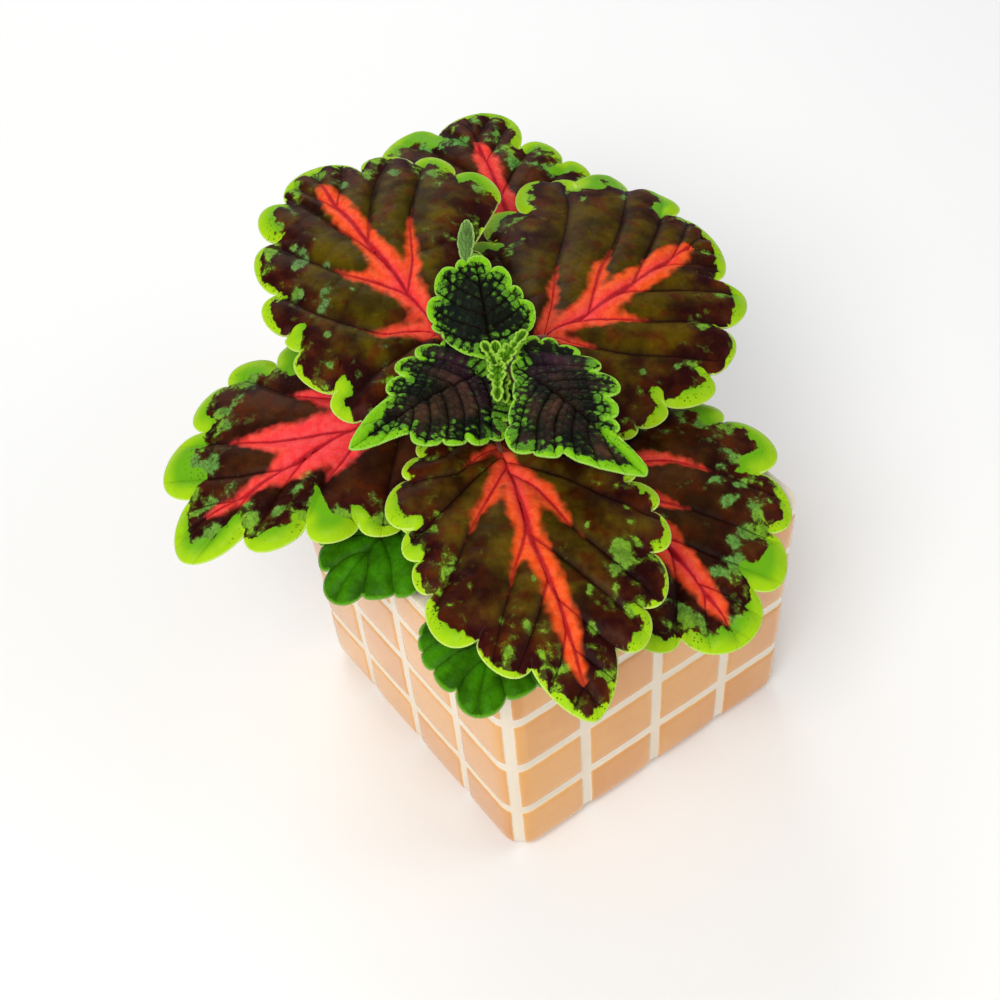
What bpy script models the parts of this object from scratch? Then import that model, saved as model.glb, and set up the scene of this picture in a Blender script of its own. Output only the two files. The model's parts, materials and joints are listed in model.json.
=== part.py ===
"""Potted coleus: a square glazed pot with soil, one stem and its leaves, each a separate solid."""
import math

import bmesh
import bpy
from mathutils import Matrix, Vector

MM = 0.001

# Pot: a square with rounded corners that narrows a little towards its base
POT_WIDTH = 90.0 * MM
POT_BASE_WIDTH = 86.5 * MM
POT_HEIGHT = 71.0 * MM
CORNER_RADIUS = 6.0 * MM
CORNER_STEPS = 5
BASE_EDGE_RADIUS = 4.5 * MM
RIM_EDGE_RADIUS = 1.4 * MM
WALL = 5.0 * MM
FLOOR = 6.0 * MM

# Soil
GAP = 0.3 * MM
SOIL_TOP = 61.0 * MM
SOIL_DOME = 1.5 * MM
ROOT_DEPTH = 22.0 * MM

# Stem, from the root end to the tip, with its radius at both ends
STEM_FOOT = Vector((-2.0, 6.0, 61.0)) * MM
STEM_TOP = Vector((-4.6, 8.2, 102.5)) * MM
STEM_RADIUS = (2.9 * MM, 1.5 * MM)
STEM_BOW = 1.2 * MM

# Leaves
BLADE_THICKNESS = 0.9 * MM
BLADE_RINGS = 3
LOBE_STEPS = 4
LOBE_DEPTH = 0.38
SINUS_DEPTH = 0.15
PLAIN_LOBE_DEPTH = 0.24
PLAIN_LOBE_STEPS = 3
PLAIN_TIP_DEPTH = 0.5
STALK_RADIUS = (1.3 * MM, 0.6 * MM)
STALK_STEPS = 9
STALK_GAP = 0.8 * MM
RIB_REACH = 0.16
NO_CUP = (0.0, 0.0, 1.0)

# Each large leaf: where its blade begins, its compass direction, rise and roll in degrees, its length,
# how far it arches and how far its sides hang (shares of its length), the height where its stalk leaves
# the stem, how far its end lobe stands out (a share of that lobe's span), and the notches of its edge in
# millimetres along and across the blade, left side then right side, both read from the stalk to the tip.
LARGE_LEAVES = {
    "leaf_upper_left": dict(
        base=(-4.8, 30.8, 100.0), heading=82.6, rise=6.0, roll=-1, length=71.2, arch=0.05, hang=0.25,
        node=95.0, tip=0.38,
        left=((-9, 15), (-11, 27), (-1.5, 28), (13, 30.5), (18.5, 31), (31.5, 28), (47, 21.5),
              (58.5, 13.5)),
        right=((-8, -10), (-2, -16), (9, -18.5, 0.2), (20, -18.5, 0.04), (32.5, -33), (47, -28.5),
               (56, -21.5), (59, -8))),
    "leaf_upper_right": dict(
        base=(16.3, 21.2, 93.5), heading=12.7, rise=-8.0, roll=6, length=71.9, arch=0.05, hang=0.18,
        node=88.0, tip=0.24,
        left=((-9, 14), (-7, 25), (9, 29.5), (20.5, 32.3), (36, 35, 0.48), (57.5, 42.5, 0.28),
              (58.5, 34.8, 0.5), (67.5, 25, 0.6), (65.5, 8)),
        right=((-10, -13), (-11, -26), (-2.5, -34), (6.5, -33.5), (21.5, -36), (35.5, -28), (50, -16.5))),
    "leaf_back": dict(
        base=(38.4, 57.0, 77.5), heading=64.8, rise=5.6, roll=1, length=69.5, arch=0.05, hang=0.25,
        node=77.0, tip=0.57,
        left=((-8, 12), (-8, 23), (4, 29), (19, 32), (37, 33), (53.5, 30), (60.5, 13)),
        right=((-6, -9), (-5, -15), (5, -20), (18, -24), (33, -25), (40, -18.5), (48, -8))),
    "leaf_left": dict(
        base=(-20.6, 22.8, 92.0), heading=173.0, rise=-13.3, roll=-9, length=65.2, arch=0.06, hang=0.25,
        node=87.0, tip=0.7,
        left=((-8, 11), (-8, 22), (4, 27.5), (17.5, 26.5), (25, 21), (35, 14), (48.5, 7.5)),
        right=((-8, -12), (-8, -25), (5, -32), (21, -33), (32.5, -33.5), (43.5, -24.5), (54.5, -9.5))),
    "leaf_front": dict(
        base=(-15.4, -7.1, 98.0), heading=-110.0, rise=-9.3, roll=-2, length=71.1, arch=0.06, hang=0.25,
        node=94.5, tip=0.78,
        left=((-7, 10), (-6, 19), (5, 23), (17, 24), (26, 26.5), (36.5, 22.5), (49, 16.5), (56.5, 8)),
        right=((-7, -9), (-4, -17.5), (2, -21.5), (16, -24), (24.5, -25), (33.5, -24.5), (47, -18.5),
               (56.5, -10))),
    "leaf_right": dict(
        base=(3.3, -13.2, 79.5), heading=-87.9, rise=-11.2, roll=2, length=53.9, arch=0.06, hang=0.15,
        node=78.5, tip=0.42,
        left=((-7, 11), (-10, 24), (-6, 35), (5, 39.5), (22.5, 34.5), (36.5, 25), (45.5, 11.5)),
        right=((-7, -8), (-5, -15), (5, -19), (18, -20), (32, -19), (45, -10))),
}

# Plain leaves have an even oval outline, with so many lobes a side and the widest place at a share of
# their length; the rest of their values are as above.
PLAIN_LEAVES = {
    "leaf_low_left": dict(
        base=(-30.0, 5.4, 81.5), heading=-168.0, rise=-15.0, roll=0, length=29.0, arch=0.06, hang=0.3,
        node=71.5, width=33.0, widest=0.45, lobes=4),
    "leaf_low_front": dict(
        base=(-30.0, -27.0, 76.5), heading=-139.0, rise=-9.0, roll=0, length=27.0, arch=0.06, hang=0.2,
        node=72.0, width=33.0, widest=0.45, lobes=4),
    "leaf_low_right": dict(
        base=(17.0, 13.0, 77.0), heading=10.0, rise=-4.0, roll=0, length=25.0, arch=0.06, hang=0.3,
        node=71.5, width=24.0, widest=0.42, lobes=4),
    "leaf_low_back": dict(
        base=(-8.0, 27.0, 77.0), heading=112.0, rise=-4.0, roll=0, length=27.0, arch=0.06, hang=0.3,
        node=72.0, width=27.0, widest=0.42, lobes=4),
}

# Each young leaf: as the large leaves, with the place where its edge meets the stalk, how its back end is
# cupped (height, where it starts and over what length, in millimetres), and where a notch has a third
# number, how far the lobe after it stands out.
YOUNG_LEAVES = {
    "young_leaf_back": dict(
        base=(-3.4, 11.6, 107.4), heading=63.0, rise=23.0, roll=0, length=31.0, arch=0.02, hang=0.3,
        node=101.0, tip=0.42, sinus=(1.0, 0.0),
        left=((2.6, 3.2), (6.3, 10.2, 0.15), (8.8, 11.8), (15, 9.8), (21.2, 4.8), (22.3, 2.2)),
        right=((2, -2.5, 0.15), (3.4, -8.8), (10.9, -9), (14.3, -6.7), (19.6, -3.2))),
    "young_leaf_left": dict(
        base=(-8.6, 8.4, 105.2), heading=-171.1, rise=7.3, roll=-8, length=38.5, arch=0.06, hang=0.3,
        node=99.6, tip=1.2, sinus=(-1.2, 0.6), cup=(4.5, 5.0, 14.0),
        left=((-1.6, 4.6), (2.4, 10.9), (6.9, 13.7), (13.3, 16), (18.1, 13.9), (23, 11.1), (27.2, 5.5)),
        right=((-2.6, -2.6, 0.1), (-4.4, -4.9), (-4.6, -6.9), (-1.9, -10), (1, -12.5), (9, -11.4),
               (16.5, -8.3), (22.8, -5))),
    "young_leaf_right": dict(
        base=(-2.9, 3.0, 107.2), heading=-89.4, rise=0.3, roll=-8, length=44.5, arch=0.06, hang=0.3,
        node=100.4, tip=1.0, sinus=(-0.8, 1.0), cup=(6.0, 5.0, 14.0),
        left=((-4.8, 6), (-3.8, 9.9), (-1.3, 13.2), (3.5, 15.5), (12, 12.4), (21.6, 7.9), (27.8, 3.4),
              (32.1, 2.3)),
        right=((-0.5, -0.8, 0.1), (5.2, -4, 0.1), (10.8, -8.4, 0.12), (16.8, -14), (26.2, -15.3),
               (30.3, -10.6))),
}

# The narrow end of the young leaf at the back
TONGUE = dict(base=(3.0, 29.8, 115.5), heading=51.2, rise=24.0, roll=0, length=13.2, arch=0.04, hang=0.3,
              width=3.2, widest=0.6, lobes=3)

# The bud: a short stub on the stem's tip with tiny leaves spread from its top
BUD_STUB = (0.65 * MM, 4.5 * MM)
BUD_RADIUS = (1.3 * MM, 1.0 * MM)
BUD_BLADE_THICKNESS = 0.7 * MM
BUD_LEAF = dict(roll=0, hang=0.3, widest=0.62, lobes=3)
BUD_LEAVES = {
    "bud_left": dict(BUD_LEAF, base=(-4.6, 8.2, 105.6), heading=158.6, rise=70.0, length=7.4, width=2.6,
                     arch=0.06),
    "bud_right": dict(BUD_LEAF, base=(-4.6, 8.2, 105.6), heading=-23.3, rise=39.0, length=10.2, width=2.6,
                      arch=0.04),
    "bud_front": dict(BUD_LEAF, base=(-4.6, 8.2, 106.6), heading=-123.6, rise=5.0, length=15.4, width=3.0,
                      arch=0.12),
    "bud_back": dict(BUD_LEAF, base=(-4.6, 8.2, 106.0), heading=60.0, rise=62.0, length=5.4, width=2.2,
                     arch=0.06),
}

COLOURS = {
    "glaze": ((0.66, 0.34, 0.13), 0.22),
    "soil": ((0.035, 0.022, 0.015), 0.95),
    "stem": ((0.20, 0.06, 0.06), 0.5),
    "variegated": ((0.09, 0.03, 0.012), 0.4),
    "green": ((0.02, 0.12, 0.01), 0.4),
    "young": ((0.03, 0.035, 0.02), 0.45),
}


def clear_scene():
    for old in list(bpy.data.objects):
        bpy.data.objects.remove(old, do_unlink=True)


def material(name):
    colour, roughness = COLOURS[name]
    mat = bpy.data.materials.get(name) or bpy.data.materials.new(name)
    mat.use_nodes = True
    shader = mat.node_tree.nodes["Principled BSDF"]
    shader.inputs["Base Color"].default_value = (*colour, 1.0)
    shader.inputs["Roughness"].default_value = roughness
    shader.inputs["Metallic"].default_value = 0.0
    return mat


def add_object(name, bm, mat_name):
    bmesh.ops.recalc_face_normals(bm, faces=bm.faces)
    mesh = bpy.data.meshes.new(name)
    bm.to_mesh(mesh)
    bm.free()
    mesh.shade_smooth()
    mesh.set_sharp_from_angle(angle=math.radians(40))
    obj = bpy.data.objects.new(name, mesh)
    bpy.context.collection.objects.link(obj)
    if mat_name:
        mesh.materials.append(material(mat_name))
    return obj


def hide_guide(obj):
    obj.hide_render = True
    obj.display_type = "WIRE"


def boolean(obj, other, operation):
    hide_guide(other)
    mod = obj.modifiers.new(other.name, "BOOLEAN")
    mod.operation = operation
    mod.object = other


def rounded_block(bottom_width, top_width, low, high, radius):
    """A square block with rounded upright edges, as a bmesh with its two flat end faces."""
    bm = bmesh.new()
    bmesh.ops.create_cube(bm, size=1.0)
    for v in bm.verts:
        v.co.z += 0.5
    upright = [e for e in bm.edges if abs(e.verts[0].co.z - e.verts[1].co.z) > 0.5]
    bmesh.ops.bevel(bm, geom=upright, offset=radius / top_width, segments=CORNER_STEPS, profile=0.5,
                    affect="EDGES", material=-1)
    for v in bm.verts:
        width = top_width if v.co.z > 0.5 else bottom_width
        v.co = Vector((v.co.x * width, v.co.y * width, high if v.co.z > 0.5 else low))
    return bm


def end_face(bm, z):
    return min(bm.faces, key=lambda f: abs(f.calc_center_median().z - z) - 1e-3 * (len(f.verts) > 4))


def wall_width(z):
    share = z / POT_HEIGHT
    return POT_BASE_WIDTH + (POT_WIDTH - POT_BASE_WIDTH) * share


def make_pot():
    bm = rounded_block(POT_BASE_WIDTH, POT_WIDTH, 0.0, POT_HEIGHT, CORNER_RADIUS)
    top = end_face(bm, POT_HEIGHT)
    bottom = end_face(bm, 0.0)
    base_edges = list(bottom.edges)
    rim_outer = list(top.edges)
    bmesh.ops.inset_region(bm, faces=[top], thickness=WALL, use_even_offset=True)
    rim_inner = list(top.edges)
    floor = bmesh.ops.extrude_discrete_faces(bm, faces=[top])["faces"][0]
    shrink = (wall_width(FLOOR) - 2 * WALL) / (wall_width(POT_HEIGHT) - 2 * WALL)
    for v in floor.verts:
        v.co = Vector((v.co.x * shrink, v.co.y * shrink, FLOOR))
    bmesh.ops.bevel(bm, geom=base_edges, offset=BASE_EDGE_RADIUS, segments=4, profile=0.5,
                    affect="EDGES", material=-1, clamp_overlap=True)
    bmesh.ops.bevel(bm, geom=rim_outer + rim_inner, offset=RIM_EDGE_RADIUS, segments=2, profile=0.5,
                    affect="EDGES", material=-1, clamp_overlap=True)
    return add_object("pot", bm, "glaze")


def make_soil():
    low = FLOOR + GAP
    lower = wall_width(low) - 2 * (WALL + GAP)
    upper = wall_width(SOIL_TOP) - 2 * (WALL + GAP)
    bm = rounded_block(lower, upper, low, SOIL_TOP, CORNER_RADIUS - 2 * MM)
    top = end_face(bm, SOIL_TOP)
    for share in (0.7, 0.5):
        bmesh.ops.inset_region(bm, faces=[top], thickness=0.0)
        bmesh.ops.scale(bm, verts=top.verts, vec=(share, share, 1.0))
    for v in bm.verts:
        if v.co.z > SOIL_TOP - 0.1 * MM:
            reach = min(1.0, v.co.xy.length / (upper / 2))
            v.co.z += SOIL_DOME * (1 - reach * reach)
    soil = add_object("soil", bm, "soil")
    hole = tube("soil_hole", [root_end() - Vector((0, 0, GAP)), STEM_FOOT, stem_point(0.3)],
                [STEM_RADIUS[0] + 2 * GAP] * 3, 3)
    boolean(soil, hole, "DIFFERENCE")
    return soil


def tube(name, points, radii, resolution):
    """A closed round tube through the points, as a mesh object."""
    curve = bpy.data.curves.new(name + "_path", "CURVE")
    curve.dimensions = "3D"
    curve.bevel_depth = 1.0
    curve.bevel_resolution = resolution
    curve.use_fill_caps = True
    spline = curve.splines.new("POLY")
    spline.points.add(len(points) - 1)
    for target, place, radius in zip(spline.points, points, radii):
        target.co = (*place, 1.0)
        target.radius = radius
    path = bpy.data.objects.new(name + "_path", curve)
    bpy.context.collection.objects.link(path)
    mesh = bpy.data.meshes.new_from_object(path)
    bpy.data.objects.remove(path, do_unlink=True)
    bm = bmesh.new()
    bm.from_mesh(mesh)
    bpy.data.meshes.remove(mesh)
    bmesh.ops.remove_doubles(bm, verts=bm.verts, dist=1e-6)
    return add_object(name, bm, None)


def stem_point(share):
    """The stem's middle line, which bows slightly sideways; share is 0 at the foot and 1 at the tip."""
    bow = STEM_BOW * math.sin(math.pi * share)
    return STEM_FOOT.lerp(STEM_TOP, share) + Vector((bow, -bow, 0.0))


def stem_radius(share):
    return STEM_RADIUS[0] + (STEM_RADIUS[1] - STEM_RADIUS[0]) * max(share, 0.0)


def root_end():
    return STEM_FOOT - Vector((0, 0, ROOT_DEPTH))


def make_stem():
    shares = [i / 8 for i in range(9)]
    points = [root_end()] + [stem_point(s) for s in shares]
    radii = [STEM_RADIUS[0]] + [stem_radius(s) for s in shares]
    stem = tube("stem", points, radii, 2)
    stem.data.materials.append(material("stem"))
    return stem


def lobe(start, end, depth, steps):
    """Points from start up to but not including end, on half an ellipse that stands out by depth spans."""
    span = end - start
    out = Vector((span.y, -span.x)) * depth
    turns = [math.pi * i / steps for i in range(steps)]
    return [start + span * (1 - math.cos(a)) / 2 + out * math.sin(a) for a in turns]


def lobed_outline(spec):
    """Edge of a lobed leaf: rounded lobes between the listed notches, round the blade once."""
    listed = [spec.get("sinus", (-1.5, 0.0))] + list(spec["right"]) + list(reversed(spec["left"]))
    stops = [Vector(p[:2]) * MM for p in listed]
    points = []
    for i, stop in enumerate(stops):
        after = stops[(i + 1) % len(stops)]
        at_sinus = i in (0, len(stops) - 1)
        at_tip = i == len(spec["right"])
        depth = SINUS_DEPTH if at_sinus else spec["tip"] if at_tip else LOBE_DEPTH
        if len(listed[i]) > 2:
            depth = listed[i][2]
        points += lobe(stop, after, depth, LOBE_STEPS * (2 if at_tip else 1))
    return points


def oval_half_width(share, widest):
    """Half width of an oval blade, 0 at both ends and 1 at its widest place."""
    power = math.log(0.5) / math.log(widest)
    return math.sin(math.pi * share ** power) ** 0.72


def oval_outline(spec):
    """Edge of a plain leaf: an oval cut into even rounded lobes."""
    length = spec["length"] * MM
    half = spec["width"] * MM / 2
    lobes = spec["lobes"]
    shares = [0.03 + 0.89 * i / lobes for i in range(lobes + 1)]
    right = [Vector((length * s, -half * oval_half_width(s, spec["widest"]))) for s in shares]
    left = [Vector((p.x, -p.y)) for p in reversed(right)]
    stops = right + left
    points = []
    for i, stop in enumerate(stops):
        after = stops[(i + 1) % len(stops)]
        depth = 0.0 if i == len(stops) - 1 else PLAIN_TIP_DEPTH if i == lobes else PLAIN_LOBE_DEPTH
        points += lobe(stop, after, depth, PLAIN_LOBE_STEPS)
    return points


def leaf_frame(spec):
    """Directions along, across and out of the blade."""
    heading = math.radians(spec["heading"])
    rise = math.radians(spec["rise"])
    along = Vector((math.cos(heading) * math.cos(rise), math.sin(heading) * math.cos(rise), math.sin(rise)))
    across = Vector((0, 0, 1)).cross(along).normalized()
    turn = Matrix.Rotation(math.radians(spec["roll"]), 3, along)
    across = turn @ across
    return along, across, along.cross(across)


def blade_point(spec, u, v):
    """The blade's middle surface: it arches along its length and hangs at its sides."""
    along, across, out = leaf_frame(spec)
    length = spec["length"] * MM
    t = u / length
    lift = 4 * spec["arch"] * length * t * (1 - t) - spec["hang"] * v * v / length
    high, start, reach = (value * MM for value in spec.get("cup", NO_CUP))
    lift += high * min(max((start - u) / reach, 0.0), 1.3) ** 2
    return Vector(spec["base"]) * MM + along * u + across * v + out * lift


def make_blade(name, spec, outline, mat_name, thickness=BLADE_THICKNESS):
    """A disc spun from one row of points, drawn out to the outline and bent to the blade's surface."""
    middle = Vector((0.4 * spec["length"] * MM, 0.0))
    count = len(outline)
    bm = bmesh.new()
    row = [bm.verts.new((i / BLADE_RINGS, 0, 0)) for i in range(BLADE_RINGS + 1)]
    spokes = [bm.edges.new(pair) for pair in zip(row, row[1:])]
    bmesh.ops.spin(bm, geom=row + spokes, axis=(0, 0, 1), cent=(0, 0, 0), angle=2 * math.pi, steps=count,
                   use_merge=True)
    bmesh.ops.remove_doubles(bm, verts=bm.verts, dist=1e-4)
    for v in bm.verts:
        turn = round(math.atan2(v.co.y, v.co.x) / (2 * math.pi) * count) % count
        spot = middle.lerp(outline[turn], v.co.xy.length)
        v.co = blade_point(spec, spot.x, spot.y)
    blade = add_object(name, bm, mat_name)
    wall = blade.modifiers.new("thickness", "SOLIDIFY")
    wall.thickness = thickness
    wall.offset = 0.0
    return blade


def stalk_points(spec):
    """From beside the stem, outwards and up to the blade, then a short way along under its middle."""
    height = spec["node"] * MM
    share = (height - STEM_FOOT.z) / (STEM_TOP.z - STEM_FOOT.z)
    centre = stem_point(share)
    base = Vector(spec["base"]) * MM
    along, _, out = leaf_frame(spec)
    away = Vector((base.x - centre.x, base.y - centre.y, 0.0))
    reach = away.length
    away.normalize()
    start = centre + away * (stem_radius(share) + STALK_GAP)
    sink = out * (STALK_RADIUS[1] * 0.55)
    first = start + away * reach * 0.35
    second = base - along * reach * 0.3
    points = []
    for i in range(STALK_STEPS + 1):
        t = i / STALK_STEPS
        spot = (start * (1 - t) ** 3 + first * 3 * t * (1 - t) ** 2 + second * 3 * t * t * (1 - t)
                + base * t ** 3)
        points.append(spot - sink * t)
    length = spec["length"] * MM
    points += [blade_point(spec, length * RIB_REACH * s, 0.0) - sink for s in (0.5, 1.0)]
    return points


def make_leaf(name, spec, outline, mat_name):
    blade = make_blade(name, spec, outline, mat_name)
    points = stalk_points(spec)
    thin = min(1.0, spec["length"] / 45.0)
    radii = [(STALK_RADIUS[0] + (STALK_RADIUS[1] - STALK_RADIUS[0]) * i / (len(points) - 1)) * thin
             for i in range(len(points))]
    stalk = tube(name + "_stalk", points, radii, 2)
    boolean(blade, stalk, "UNION")
    return blade


def make_bud():
    low, high = (STEM_TOP + Vector((0, 0, rise)) for rise in BUD_STUB)
    bud = tube("bud", [low, high], BUD_RADIUS, 2)
    bud.data.materials.append(material("young"))
    for name, spec in BUD_LEAVES.items():
        blade = make_blade(name, spec, oval_outline(spec), None, BUD_BLADE_THICKNESS)
        boolean(bud, blade, "UNION")
    return bud


def make_leaves():
    for name, spec in LARGE_LEAVES.items():
        make_leaf(name, spec, lobed_outline(spec), "variegated")
    for name, spec in PLAIN_LEAVES.items():
        make_leaf(name, spec, oval_outline(spec), "green")
    for name, spec in YOUNG_LEAVES.items():
        make_leaf(name, spec, lobed_outline(spec), "young")
    tongue = make_blade("tongue", TONGUE, oval_outline(TONGUE), None)
    boolean(bpy.data.objects["young_leaf_back"], tongue, "UNION")


def main():
    clear_scene()
    make_pot()
    make_soil()
    make_stem()
    make_leaves()
    make_bud()


main()
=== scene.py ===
import json
import math
from types import SimpleNamespace

import bmesh
import bpy
import numpy as np
from mathutils import Matrix, Vector, noise
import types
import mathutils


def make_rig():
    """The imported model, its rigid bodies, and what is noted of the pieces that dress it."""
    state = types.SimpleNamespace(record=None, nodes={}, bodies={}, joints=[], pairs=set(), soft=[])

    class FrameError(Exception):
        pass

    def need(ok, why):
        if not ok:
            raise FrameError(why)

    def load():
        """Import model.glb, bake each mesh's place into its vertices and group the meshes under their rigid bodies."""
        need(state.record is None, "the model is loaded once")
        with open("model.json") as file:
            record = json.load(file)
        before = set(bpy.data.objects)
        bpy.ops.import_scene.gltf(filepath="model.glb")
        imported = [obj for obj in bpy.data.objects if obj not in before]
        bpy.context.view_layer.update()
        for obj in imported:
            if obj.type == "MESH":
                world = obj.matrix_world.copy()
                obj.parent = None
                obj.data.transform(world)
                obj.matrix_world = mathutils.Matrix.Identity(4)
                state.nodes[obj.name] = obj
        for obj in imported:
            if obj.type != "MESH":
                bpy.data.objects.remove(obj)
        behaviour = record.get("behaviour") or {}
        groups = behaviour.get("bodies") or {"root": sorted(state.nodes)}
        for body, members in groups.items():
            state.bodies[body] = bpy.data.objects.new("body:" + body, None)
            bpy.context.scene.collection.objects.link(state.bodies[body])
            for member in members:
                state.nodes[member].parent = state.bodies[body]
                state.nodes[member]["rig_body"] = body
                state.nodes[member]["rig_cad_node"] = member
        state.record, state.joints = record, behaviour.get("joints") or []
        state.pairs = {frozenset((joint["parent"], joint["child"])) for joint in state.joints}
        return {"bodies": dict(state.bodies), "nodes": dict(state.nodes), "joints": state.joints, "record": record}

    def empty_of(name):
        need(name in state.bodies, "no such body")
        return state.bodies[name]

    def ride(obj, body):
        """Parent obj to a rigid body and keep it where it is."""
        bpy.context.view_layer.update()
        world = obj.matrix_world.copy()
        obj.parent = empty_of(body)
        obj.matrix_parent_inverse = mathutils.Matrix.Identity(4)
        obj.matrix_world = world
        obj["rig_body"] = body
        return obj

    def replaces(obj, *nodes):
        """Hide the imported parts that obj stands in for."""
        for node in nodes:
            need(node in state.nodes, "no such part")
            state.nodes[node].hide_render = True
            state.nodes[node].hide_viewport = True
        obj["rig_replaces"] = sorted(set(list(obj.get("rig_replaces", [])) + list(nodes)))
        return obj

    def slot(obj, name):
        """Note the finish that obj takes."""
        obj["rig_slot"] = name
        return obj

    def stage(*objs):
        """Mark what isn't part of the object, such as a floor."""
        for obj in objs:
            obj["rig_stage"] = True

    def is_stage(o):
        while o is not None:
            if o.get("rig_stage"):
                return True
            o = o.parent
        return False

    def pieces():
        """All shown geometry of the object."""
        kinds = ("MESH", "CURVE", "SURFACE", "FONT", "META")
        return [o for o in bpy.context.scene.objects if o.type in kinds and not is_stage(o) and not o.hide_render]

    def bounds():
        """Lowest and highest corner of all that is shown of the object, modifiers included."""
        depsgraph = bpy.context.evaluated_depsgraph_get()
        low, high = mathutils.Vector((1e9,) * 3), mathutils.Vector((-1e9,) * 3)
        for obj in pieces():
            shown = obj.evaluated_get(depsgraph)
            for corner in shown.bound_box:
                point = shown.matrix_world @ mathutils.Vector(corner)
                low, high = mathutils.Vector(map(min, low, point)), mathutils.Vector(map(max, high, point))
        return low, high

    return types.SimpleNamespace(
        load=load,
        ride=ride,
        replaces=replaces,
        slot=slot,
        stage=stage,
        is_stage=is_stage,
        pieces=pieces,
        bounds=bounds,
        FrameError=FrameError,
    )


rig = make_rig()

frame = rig.load()
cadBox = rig.bounds()
mm = 0.001


# camera, lamps and floor; places in metres, angles in degrees
view = dict(place=(-0.15960, -0.23160, 0.36597), elevation=46.9, turn=32.5, roll=5.0, lens=61.2,
            sensor=36.0, near=0.01)


def makeCamera():
    camera = bpy.data.objects.new("camera", bpy.data.cameras.new("camera"))
    bpy.context.collection.objects.link(camera)
    camera.data.lens = view["lens"]
    camera.data.sensor_width = view["sensor"]
    camera.data.clip_start = view["near"]
    aim = (Matrix.Rotation(math.radians(-view["turn"]), 4, "Z")
           @ Matrix.Rotation(math.radians(90 - view["elevation"]), 4, "X")
           @ Matrix.Rotation(math.radians(-view["roll"]), 4, "Z"))
    camera.matrix_world = Matrix.Translation(view["place"]) @ aim
    bpy.context.scene.camera = camera


studio = dict(
    world=(0.95, 0.97, 1.0), worldStrength=0.42, floor=(0.86, 0.86, 0.85), floorSize=3.0, floorDrop=0.0002,
    aim=(0.0, 0.02, 0.08),
    lamps=(("key", (-0.55, -0.35, 0.75), 0.55, 7.0, (1.0, 0.98, 0.95)),
           ("fill", (0.65, -0.45, 0.55), 0.6, 1.8, (0.97, 0.98, 1.0)),
           ("side", (-0.95, 0.15, 0.30), 0.9, 1.0, (1.0, 0.99, 0.97)),
           ("back", (0.25, 0.7, 0.6), 0.6, 3.0, (1.0, 1.0, 1.0))))


def makeStudio():
    scene = bpy.context.scene
    scene.view_settings.view_transform = "Standard"
    world = scene.world or bpy.data.worlds.new("world")
    scene.world = world
    world.use_nodes = True
    sky = world.node_tree.nodes["Background"]
    sky.inputs["Color"].default_value = (*studio["world"], 1.0)
    sky.inputs["Strength"].default_value = studio["worldStrength"]
    for name, place, size, power, colour in studio["lamps"]:
        lamp = bpy.data.lights.new(name, "AREA")
        lamp.shape = "DISK"
        lamp.size = size
        lamp.energy = power
        lamp.color = colour
        holder = bpy.data.objects.new(name, lamp)
        bpy.context.collection.objects.link(holder)
        aim = Vector(studio["aim"]) - Vector(place)
        holder.matrix_world = Matrix.Translation(place) @ aim.to_track_quat("-Z", "Y").to_matrix().to_4x4()
    bm = bmesh.new()
    bmesh.ops.create_grid(bm, x_segments=1, y_segments=1, size=studio["floorSize"])
    bmesh.ops.translate(bm, verts=bm.verts, vec=(0, 0, -studio["floorDrop"]))
    paper, shader = newMaterial("floorPaper", roughness=0.8)
    shader.inputs["Base Color"].default_value = (*studio["floor"], 1.0)
    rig.stage(addPiece("floor", bm, [paper]))


def tint(red, green, blue):
    # screen values 0-255 to the linear ones that a shader takes
    def linear(c):
        c /= 255.0
        return c / 12.92 if c <= 0.04045 else ((c + 0.055) / 1.055) ** 2.4
    return (linear(red), linear(green), linear(blue), 1.0)


socketNames = dict(roughness="Roughness", coat="Coat Weight", coatRoughness="Coat Roughness", sheen="Sheen Weight",
                   specular="Specular IOR Level")


def newMaterial(name, **sockets):
    mat = bpy.data.materials.new(name)
    mat.use_nodes = True
    shader = mat.node_tree.nodes["Principled BSDF"]
    for key, value in sockets.items():
        shader.inputs[socketNames[key]].default_value = value
    return mat, shader


class Signal:
    # a value in a shader tree, which goes into sums like a number
    def __init__(self, socket):
        self.socket = socket

    def __add__(self, other):
        return calc("ADD", self, other)

    def __sub__(self, other):
        return calc("SUBTRACT", self, other)

    def __rsub__(self, other):
        return calc("SUBTRACT", other, self)

    def __mul__(self, other):
        return calc("MULTIPLY", self, other)

    def __truediv__(self, other):
        return calc("DIVIDE", self, other)

    def __abs__(self):
        return calc("ABSOLUTE", self)

    def __round__(self):
        return calc("ROUND", self)


def plug(socket, value):
    if isinstance(value, Signal):
        socket.id_data.links.new(value.socket, socket)
    else:
        socket.default_value = value


def addNode(tree, kind, values, settings=None):
    node = tree.nodes.new(kind)
    for key, value in (settings or {}).items():
        setattr(node, key, value)
    for key, value in values.items():
        plug(node.inputs[key], value)
    return node


def signal(kind, values, settings=None, output=0):
    # one output of a new node, in the tree that its values come from
    tree = next(v.socket.id_data for v in values.values() if isinstance(v, Signal))
    return Signal(addNode(tree, kind, values, settings).outputs[output])


def calc(operation, *values, clamp=False):
    return signal("ShaderNodeMath", dict(enumerate(values)), dict(operation=operation, use_clamp=clamp))


def swing(value, size):
    # a noise value moved to lie evenly about zero, times size
    return (value - 0.5) * size


def blend(share, a, b, mode="MIX"):
    return signal("ShaderNodeMix", {0: share, 6: a, 7: b}, dict(data_type="RGBA", blend_type=mode), 2)


def ease(value, low, high, outLow=0.0, outHigh=1.0):
    # goes smoothly from outLow to outHigh while value goes from low to high
    values = dict(enumerate((value, low, high, outLow, outHigh)))
    return signal("ShaderNodeMapRange", values, dict(interpolation_type="SMOOTHSTEP"))


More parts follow.
